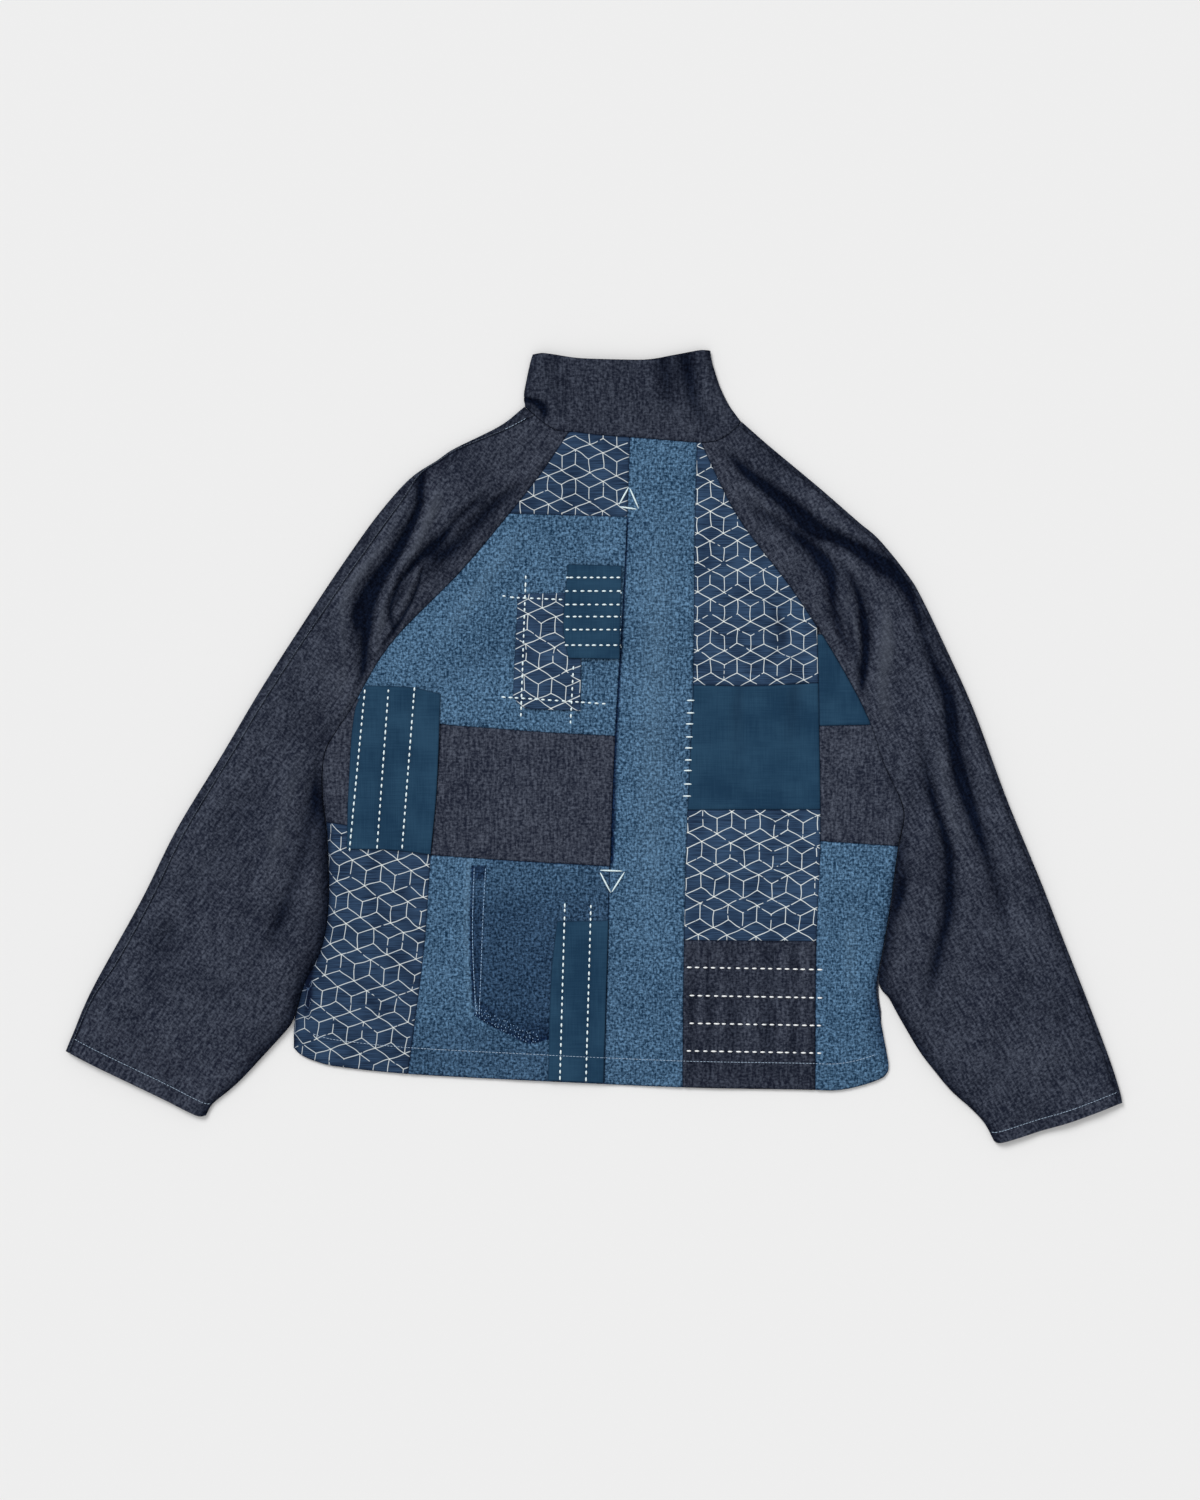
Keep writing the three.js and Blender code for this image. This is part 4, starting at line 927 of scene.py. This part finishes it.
             (306, 184, 6, 1.4, 0.3), (330, 140, 7, 1.6, 0.3), (350, 100, 7, 1.4, 0.3),
             (372, 40, 8, 1.4, 0.25), (394, -30, 9, 0.8, 0.15), (418, -110, 9, 0.2, 0)],
            [(306, 40, 7, 0.4, 0), (344, -10, 6, 1.6, 0.3), (352, -60, 7, 2, 0.35),
             (366, -110, 8, 1.6, 0.25), (376, -160, 9, 0.5, 0.1)],
            # Dents towards the cuff.
            [(420, -250, 10, -0.2, 0), (404, -290, 12, -1.2, -0.2), (398, -330, 12, -0.3, 0)],
            [(470, -220, 9, -0.3, -0.05), (466, -260, 10, -1, -0.15), (474, -300, 9, -0.2, 0)],
        ]),
}


def line_through(points, count=1500):
    """A smooth line through points: a function giving x and y at a share of its length, and the length."""
    columns = np.array(points, float).T
    steps = np.linspace(0, len(points) - 1, count)
    xs, ys = (smooth_through(list(enumerate(column)))(steps) for column in columns)
    run = np.concatenate([[0], np.cumsum(np.hypot(np.diff(xs), np.diff(ys)))])

    def place(share):
        return np.stack([np.interp(share, run / run[-1], values) for values in (xs, ys)])

    return place, run[-1]


cuff_lines = []  # topstitching round the cuffs, as x, y, z
for side, sleeve in sleeves.items():
    ys = np.linspace(sleeve["raglan"][0][1], sleeve["raglan"][-1][1], 15)
    inner, _ = line_through(list(zip(sleeve["edge"](ys), ys)) + sleeve["inner"])
    outer, length = line_through(sleeve["outer"])
    cuff, _ = line_through(sleeve["cuff"])
    xs = np.linspace(sleeve["outer"][0][0], sleeve["raglan"][0][0], 9)
    neck, _ = line_through(list(zip(xs, neck_seam(xs))))
    shares = np.linspace(0, 1, 1001)
    armpit_at = shares[np.argmax(inner(shares)[1] < sleeve["raglan"][-1][1])]

    def plan(s, t):
        """Place at s from neck to cuff and t from the outer fold to the inner line, bent to both ends."""
        a, b = outer(s), inner(s)
        at_neck = neck(t) - mix(outer(np.zeros_like(t)), inner(np.zeros_like(t)), t)
        at_cuff = cuff(t) - mix(outer(np.ones_like(t)), inner(np.ones_like(t)), t)
        return mix(a, b, t) + at_neck * (1 - s) + at_cuff * s

    def widths(s):
        """Width of the sleeve from its outer fold to its inner line."""
        return np.hypot(*(inner(s) - outer(s)))

    def arm(s, d, x, y):
        """
        Height and painted shade of the upper cloth at d from the outer fold: a rounded hump, full along the
        arm and low at its ends, with the folds, soft waves, and a raised rim beside the raglan seam.
        """
        inward = widths(s) - d
        filled = ease(0, FILLED, s) * (1 - ease(1 - FILLED, 1, s))
        crown = mix(np.where(s < 0.5, BACK, CUFF), ARM, filled)
        past = ease(armpit_at, armpit_at + TURNS, s)
        inner_end = mix(BACK, FOLD_END, past)
        rise = mix(ease(0, INNER_ROLL * 2, inward), quarter_round(inward, INNER_ROLL), past)
        outer_end = RESTS + WRAP
        smooth = outer_end + (mix(inner_end, crown, rise) - outer_end) * quarter_round(d, OUTER_ROLL)
        clear = ease(0, 9, d) * ease(0, 9, inward) * ease(0, 0.03, s)
        rise, tone = folded(x, y, sleeve["folds"])
        rim = (1 - past) * np.exp(-((inward - 9) / 6) ** 2) * ease(0, 0.08, s)
        waves = soft_waves(x, y, 21, 75, 0.7) + soft_waves(x, y, 22, 30, 0.25)
        height = smooth + clear * (rise + waves) + 1.3 * rim
        hemmed = 0.5 * ease(1 - sleeve["cuff_hem"] / length, 1 - (sleeve["cuff_hem"] - 2) / length, s)
        # Painted shade along the outer fold and by the body under the arm; waves painted light and dark.
        edges = -0.5 * np.exp(-((d / 7) ** 2)) - 0.8 * past * np.exp(-((inward / 10) ** 2))
        tone = clear * (tone + 0.1 * waves) + edges - 0.12
        return np.maximum(height, np.minimum(smooth, LOWEST)) + hemmed, np.clip(tone, -1, 0.8)

    def at_distance(s, d):
        """x, y, height and shade at distance d from the outer fold."""
        x, y = plan(s, d / widths(s))
        return (x, y, *arm(s, d, x, y))

    # The upper piece, from the overarm seam to the inner line.
    share, row = np.meshgrid(spaced(130, 2.3), spaced(length, 2.6))
    row = mix(SEAM / 2 / length, 1 - SEAM / 2 / length, row)
    wide = widths(row)
    near_armpit = 1 - ease(0, TURNS, np.abs(row - armpit_at))
    overarm = sleeve["overarm"](row * length)
    d = mix(overarm + SEAM * 0.7, wide - SEAM / 2 - near_armpit * 2 * SEAM, share)
    x, y, z, shade = at_distance(row, d)
    # Painted shade lines the overarm seam, the raglan seam and the neck end.
    rise, tone = pressed(d - overarm, 5, row * length)
    from_raglan = np.where(row < armpit_at, wide - d, 99)
    seam_rise, seam_tone = pressed(from_raglan, 6, row * length)
    tone = tone * (0.8 if side == "left" else 0.3) + pressed(row * length, 4, d)[1]
    cloth(f"sleeve_{side}_upper_cloth", f"sleeve_{side}_back", "dark_denim", dark_denim, x, y,
          z + rise + seam_rise, np.clip(shade + tone + seam_tone, -1, 1), grain=sleeve["grain"],
          rests_on=(f"sleeve_{side}_front",))

    # The lower piece: flat on the table, round the outer fold, and up to the overarm seam.
    flat = np.linspace(0, 1, 9)
    turn = np.radians(np.arange(12, 90, 13))
    top = np.linspace(0, 1, 10)
    rows = mix(SEAM / 2 / length, 1 - SEAM / 2 / length, spaced(length, 2.6))[:, None]
    inset = mix(SEAM, INSIDE, ease(armpit_at - TURNS, armpit_at, rows))
    wide = widths(rows)
    d_flat = mix(wide - inset, WRAP, flat)
    d_turn = WRAP * (1 - np.sin(turn)) + 0 * rows
    overarm = sleeve["overarm"](rows * length)
    d_top = top * (overarm - SEAM / 2)
    d = np.concatenate([d_flat, d_turn, d_top], axis=1)
    s = np.broadcast_to(rows, d.shape)
    x, y, z, shade = at_distance(s, d)
    rise, tone = pressed(overarm - d, 7, s * length)
    under = np.arange(d.shape[1]) < len(flat) + len(turn)
    bottom = [np.full(len(flat), RESTS), RESTS + WRAP * (1 - np.cos(turn)), np.zeros(len(top))]
    z = np.where(under, np.concatenate(bottom), z + rise)
    # The cloth under the arm and round the outer fold is painted in shade.
    shade = np.where(under, -0.4, np.clip(shade + 0.3 * tone, -1, 1))
    cloth(f"sleeve_{side}_lower_cloth", f"sleeve_{side}_front", "dark_denim", dark_denim, x, y, z, shade,
          grain=sleeve["grain"])

    # Lines for the topstitching: beside the overarm seam, and round the cuff.
    if side == "left":
        s = np.linspace(0.01, 0.995, 900)
        x, y, z, _ = at_distance(s, sleeve["overarm"](s * length) - 1.5)
        overarm_line = np.stack([x, y, z + DENIM / 2 + 0.2], -1)
    t = np.linspace(0.02, 0.98, 200)
    s = np.full(t.shape, 1 - sleeve["cuff_hem"] / length)
    x, y, z, _ = at_distance(s, t * widths(s))
    cuff_lines.append(np.stack([x, y, z + DENIM / 2 + 0.25], -1))

# --- Collar --------------------------------------------------------------------------------------------
# The stand collar is a band of dark denim sewn to the neck seam. It lies flat and folds at both sides,
# where its two front ends turn in under it and follow the fronts' neckline to the middle.

COLLAR_ROLL = 14  # width over which the band rolls down at its two folds
COLLAR_TOP = 7.5  # height of the middle of the band's cloth at its free edge
collar_left = upright([(-69, 339), (-70, 350), (-67, 367), (-63.5, 383), (-61, 391.5)])
collar_right = upright([(147, 324), (135, 340.5), (126, 358.5), (120.5, 374.5), (117, 387), (116, 395.5)])
collar_top = smooth_through([
    (-61, 391.5), (-50, 392.5), (-14, 387.5), (36, 386), (56, 386.5), (78, 390.5), (106, 395.5), (116, 395.5),
])
# Folds of the band: x, y, half width, rise and shade, painted dark in hollows and light on ridges; the curl
# at the left corner is painted as its shadow.
COLLAR_FOLDS = [
    # Soft folds where the band turns up from the shoulder.
    [(69, 393, 9, -0.6, -0.35), (69, 383, 10, -1.2, -0.6), (72, 364, 10, -1.2, -0.6),
     (73, 347, 9, -0.8, -0.4), (76, 330, 8, -0.2, -0.1)],
    [(91, 394, 10, -1, -0.5), (92, 386, 11, -1.7, -0.75), (95, 370, 11, -1.9, -0.75),
     (98, 352, 10, -1.6, -0.65), (102, 338, 9, -1.3, -0.5), (110, 327, 8, -0.9, -0.4),
     (116, 314, 6, -0.3, -0.2)],
    [(106, 388, 4, 0.6, 0.1), (113, 362, 5, 1, 0.2), (122, 336, 4, 0.4, 0.1)],
    # The band's corner curls in over the left shoulder.
    [(-73, 345.5, 1.8, -1.2, -0.8), (-66, 346.5, 2.2, -2, -1.3), (-58, 344, 3.2, -2.4, -1.8),
     (-51.5, 339, 3.9, -2.4, -2), (-49, 333, 3.4, -1.8, -1.5), (-51, 327, 2.2, -0.6, -0.5)],
    [(-64, 339, 4, -0.8, -0.25), (-60, 332, 5, -0.8, -0.2), (-56, 327, 4, -0.4, -0.1)],
    [(-44, 351, 3, 0.3, 0.1), (-41, 343, 2.6, 1, 0.35), (-40.5, 336, 2.4, 0.8, 0.3),
     (-44, 328, 2, 0.2, 0.1)],
    [(-40, 388, 8, -0.4, -0.15), (-36, 360, 10, -0.8, -0.2), (-30, 330, 9, -0.3, 0)],
]
band = (collar_left, collar_right, neck_seam, collar_top)
x, y = four_sided(*band, spaced(190, 2.2), spaced(80, 2.2))
up = y - neck_seam(x)
level = mix(BACK, COLLAR_TOP, ease(0, collar_top(x) - neck_seam(x), up)) + soft_waves(x, y, 31, 60, 0.5)
roll = quarter_round(x - collar_left(y), COLLAR_ROLL) * quarter_round(collar_right(y) - x, COLLAR_ROLL)
rise, tone = folded(x, y, COLLAR_FOLDS)
z = level - (level - FOLD_END) * (1 - roll) * ease(0, COLLAR_ROLL, up) + rise * ease(0, 8, roll * COLLAR_ROLL)
at_seam, seam_tone = pressed(up, 8, x)
at_edge = np.exp(-(collar_top(x) - y) / 0.8)
sides = np.exp(-(((x - collar_left(y)) / 5) ** 2)) + np.exp(-(((collar_right(y) - x) / 5) ** 2))
z = np.maximum(z + at_seam, FOLD_END) - 0.4 * at_edge
# Painted shade along both side folds and the free edge, where the band turns away, and the band a little
# darker all over.
shade = np.clip(tone + seam_tone - 0.5 * sides - 0.5 * at_edge - 0.2, -1, 1)
cloth("collar_band_cloth", "collar_back", "dark_denim", dark_denim, x, y, z, shade,
      rests_on=("collar_front_left", "collar_front_right"))

middle = centre_front(front_neck(centre_front(270)))


def end_top(x):
    """Upper edge of the front ends: it dips below the band's, most at the middle."""
    return collar_top(x) - 2 * INSIDE - FRONT_NECK_DROP * np.exp(-(((x - middle) / 50) ** 2))


for side, lines in (("left", (lambda y: collar_left(y) + INSIDE, centre_front)),
                    ("right", (centre_front, lambda y: collar_right(y) - INSIDE))):
    x, y = four_sided(*lines, lambda x: front_neck(x) + 1.2 * SEAM, end_top, spaced(95, 6), spaced(75, 6))
    cloth(f"collar_end_{side}_cloth", f"collar_front_{side}", "dark_denim", dark_denim, x, y,
          np.full(x.shape, RESTS))

# --- Stitching -----------------------------------------------------------------------------------------
# Sashiko in thick soft white cotton thread: rows of running stitch that quilt the patches and the dark
# denim over the hem, a ladder of single stitches across one seam, and two small triangles. Thinner pale
# sewing thread topstitches the hem, the cuffs and the left overarm seam, and is left in the pocket's mark.


def thread_material(name, hollow, crown):
    """Matt spun thread, its plies showing as fine diagonal bands of the two colours."""
    material, tree = new_material(name)
    place = node(tree, "TexCoord").outputs["Object"]
    plies = node(tree, "TexWave", {"Vector": place, "Scale": 260, "Distortion": 0.6},
                 bands_direction="DIAGONAL")
    # The hollow colour is painted shade between the plies; the crown colour is the thread's own colour on
    # them.
    dyed = node(tree, "Mix", {0: plies.outputs[1], 6: colour(hollow), 7: colour(crown)}, data_type="RGBA")
    surface = node(tree, "BsdfPrincipled", {
        "Base Color": dyed.outputs[2], "Roughness": 0.8, "Specular IOR Level": 0.3,
    })
    node(tree, "OutputMaterial", {"Surface": surface.outputs[0]})
    return material


def top_of_back(x, y):
    """Top of the piece of the back, or of the patch over it, that is uppermost at each place."""
    height = np.zeros(x.shape)
    for pieces, surface, wall in ((back_pieces, back_surface, DENIM), (patches, patch_surface, COTTON)):
        for name, (sides, *_) in pieces.items():
            inside = np.min(to_seams(x, y, *sides), axis=0) > -0.3
            if inside.any():
                height[inside] = surface(name, x[inside], y[inside])[0] + wall / 2
    return height


def on_back(points, count=400):
    """A line of count points over the back, straight between the given points, as x, y, z."""
    points = np.array(points, float)
    share = np.linspace(0, len(points) - 1, count)
    x, y = (np.interp(share, np.arange(len(points)), column) for column in points.T)
    return np.stack([x, y, top_of_back(x, y)], -1)


def running(line, pitch, stitch, seed=0, wander=0.25, start=0.5):
    """
    Running stitches along a line: for each, five points over the given share of a pitch. Their lengths
    and places vary a little, as they do when sewn by hand.
    """
    run = np.concatenate([[0], np.cumsum(np.linalg.norm(np.diff(line, axis=0), axis=-1))])
    count = max(1, int((run[-1] - stitch) / pitch + 1))
    draw = np.random.default_rng(seed)
    first = np.linspace(start, max(run[-1] - stitch - start, start), count) + draw.normal(0, wander, count)
    reach = stitch * (1 + draw.normal(0, 0.09, count))
    at = first[:, None] + reach[:, None] * np.linspace(0, 1, 5)
    return np.stack([np.interp(at, run, column) for column in line.T], -1)


def threads(name, material, paths, width):
    """
    One mesh of many stitches. Each is a tube of five rings of six points about its path, thin at its ends,
    which sink into the cloth, and closed there by a point, so it has 32 points.
    """
    paths = np.concatenate(paths)
    radius = width / 2
    arch = radius * np.array([-0.5, 0.5, 0.7, 0.5, -0.5])
    paths = paths + np.stack([0 * arch, 0 * arch, arch], -1)
    run = paths[:, -1] - paths[:, 0]
    run = run / np.linalg.norm(run, axis=-1, keepdims=True)
    aside = np.stack([-run[:, 1], run[:, 0], 0 * run[:, 0]], -1)
    aside = aside / np.linalg.norm(aside, axis=-1, keepdims=True)
    angle = np.arange(6) * np.pi / 3
    thin = np.array([0.5, 0.9, 1.05, 0.9, 0.5])
    ring = (aside[:, None, None] * np.cos(angle)[:, None] + np.array([0, 0, 0.8]) * np.sin(angle)[:, None])
    rings = paths[:, :, None] + radius * thin[:, None, None] * ring
    tips = np.stack([paths[:, 0] - 0.4 * radius * run, paths[:, -1] + 0.4 * radius * run], 1)
    count = len(paths)
    at = np.concatenate([rings.reshape(count, 30, 3), tips], 1)
    here = np.arange(6)
    after = (here + 1) % 6
    quads = [np.stack([n + here, n + 6 + here, n + 6 + after, n + after], -1) for n in (0, 6, 12, 18)]
    ends = [np.stack([np.full(6, 30), here, after], -1),
            np.stack([np.full(6, 31), 24 + after, 24 + here], -1)]
    shift = 32 * np.arange(count)[:, None, None]
    quads, ends = np.concatenate(quads) + shift, np.concatenate(ends) + shift
    faces = quads.reshape(-1, 4).tolist() + ends.reshape(-1, 3).tolist()
    mesh = bpy.data.meshes.new(name)
    mesh.from_pydata(at.reshape(-1, 3) / 1000, [], faces)
    mesh.polygons.foreach_set("use_smooth", np.ones(len(faces), bool))
    mesh.materials.append(material)
    piece = bpy.data.objects.new(name, mesh)
    bpy.context.scene.collection.objects.link(piece)
    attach(piece, "root")


sashiko_thread = thread_material("cool_white_sashiko_thread", "#daf4fa", "#f8ffff")
white_thread = thread_material("white_sashiko_thread", "#eef4f4", "#ffffff")
mint_thread = thread_material("mint_sashiko_thread", "#c9e4ea", "#eefafb")
seam_thread = thread_material("pale_sewing_thread", "#93aac2", "#bccfe2")
faded_thread = thread_material("faded_sewing_thread", "#7398bc", "#a5c3e0")
dull_thread = thread_material("grey_sewing_thread", "#4a5461", "#667080")

rows = [running(on_back(row), pitch=6.6, stitch=4.1, seed=seed) for seed, row in enumerate(QUILTING)]
threads("sashiko_on_patches", sashiko_thread, rows, 1.7)
rows = [running(on_back([(first, level), (228, level - 2.4)]), pitch=8, stitch=4.9, seed=50 + n)
        for n, (first, level) in enumerate(((92, -220.4), (95, -248.6), (95, -276.3), (92, -303.8)))]
threads("sashiko_over_hem", white_thread, rows, 1.65)


def single(ends):
    """One stitch between two places on the back, half a millimetre short of each."""
    return running(on_back(ends), pitch=40, stitch=np.hypot(*np.subtract(*ends)) - 1, seed=0, wander=0)


rungs = [(46, 92, 102), (33.5, 92, 102), (22.5, 91, 101), (9.5, 91, 101), (-1.5, 90, 100.5),
         (-13.5, 90, 100), (-24, 89, 99.5), (-37.5, 89, 99.5), (-49.5, 88, 99)]
rows = [single([(a, y), (b, y)]) for y, a, b in rungs]
threads("sashiko_ladder", sashiko_thread, rows, 1.55)
corners = [[(35, 259.5), (24, 239.5), (45, 236.5)], [(5, -123.5), (31, -124.5), (17, -146.5)]]
sides = [(three[n], three[(n + 1) % 3]) for three in corners for n in range(3)]
rows = [single(ends) for ends in sides]
threads("sashiko_triangles", mint_thread, rows, 1.7)
rows = [running(on_back([(27, y + 1), (27, y - 1)]), pitch=5, stitch=1.4, seed=0, wander=0)
        for y in (153.5, 127, 99.5)]
threads("tuck_stitches", sashiko_thread, rows, 1.2)

EVEN = 0.05  # how far machine stitches wander
HEM_STITCH = 26.5  # distance of the hem's topstitching from its edge
BARE = 26  # points of the overarm line near the neck, along which its stitches are pale
xs = np.linspace(-281, 281, 60)
hem_line = on_back(list(zip(xs, hem(xs) + HEM_STITCH)), 2000)
rows = [running(hem_line, pitch=3.4, stitch=2.9, seed=7, wander=EVEN)]
rows += [running(line, pitch=3.2, stitch=2.5, seed=8, wander=EVEN) for line in cuff_lines]
rows += [running(overarm_line[:BARE], pitch=3.2, stitch=2.5, seed=9, wander=EVEN)]
threads("topstitching", seam_thread, rows, 0.5)
rows = [running(overarm_line[BARE:], pitch=3.2, stitch=2.6, seed=9, wander=EVEN)]
threads("overarm_topstitching", dull_thread, rows, 0.5)

# The thread left in the pocket's mark: two rows down its side, and broken ends along its foot.
ys = np.linspace(-121, -268, 60)
rows = [running(on_back(list(zip(line(ys) + aside, ys))), pitch=3.4, stitch=2.9, seed=60, wander=EVEN)
        for line, aside in ((pocket_side, 3), (pocket_hem, -0.5))]
xs = np.linspace(-118, -56, 26)
scatter = np.random.default_rng(61).normal(0, 0.9, (3, len(xs), 2))
left_over = [(x + jog[0], pocket_foot(x) + up + jog[1]) for up, jogs in zip((3, 7, 12), scatter)
             for x, jog in zip(xs, jogs)]
rows += [running(on_back([(x, y), (x + 0.5, y - 1.6)], 8), pitch=9, stitch=1.3, seed=0, wander=0)
         for x, y in left_over]
threads("pocket_stitches", faded_thread, rows, 0.72)
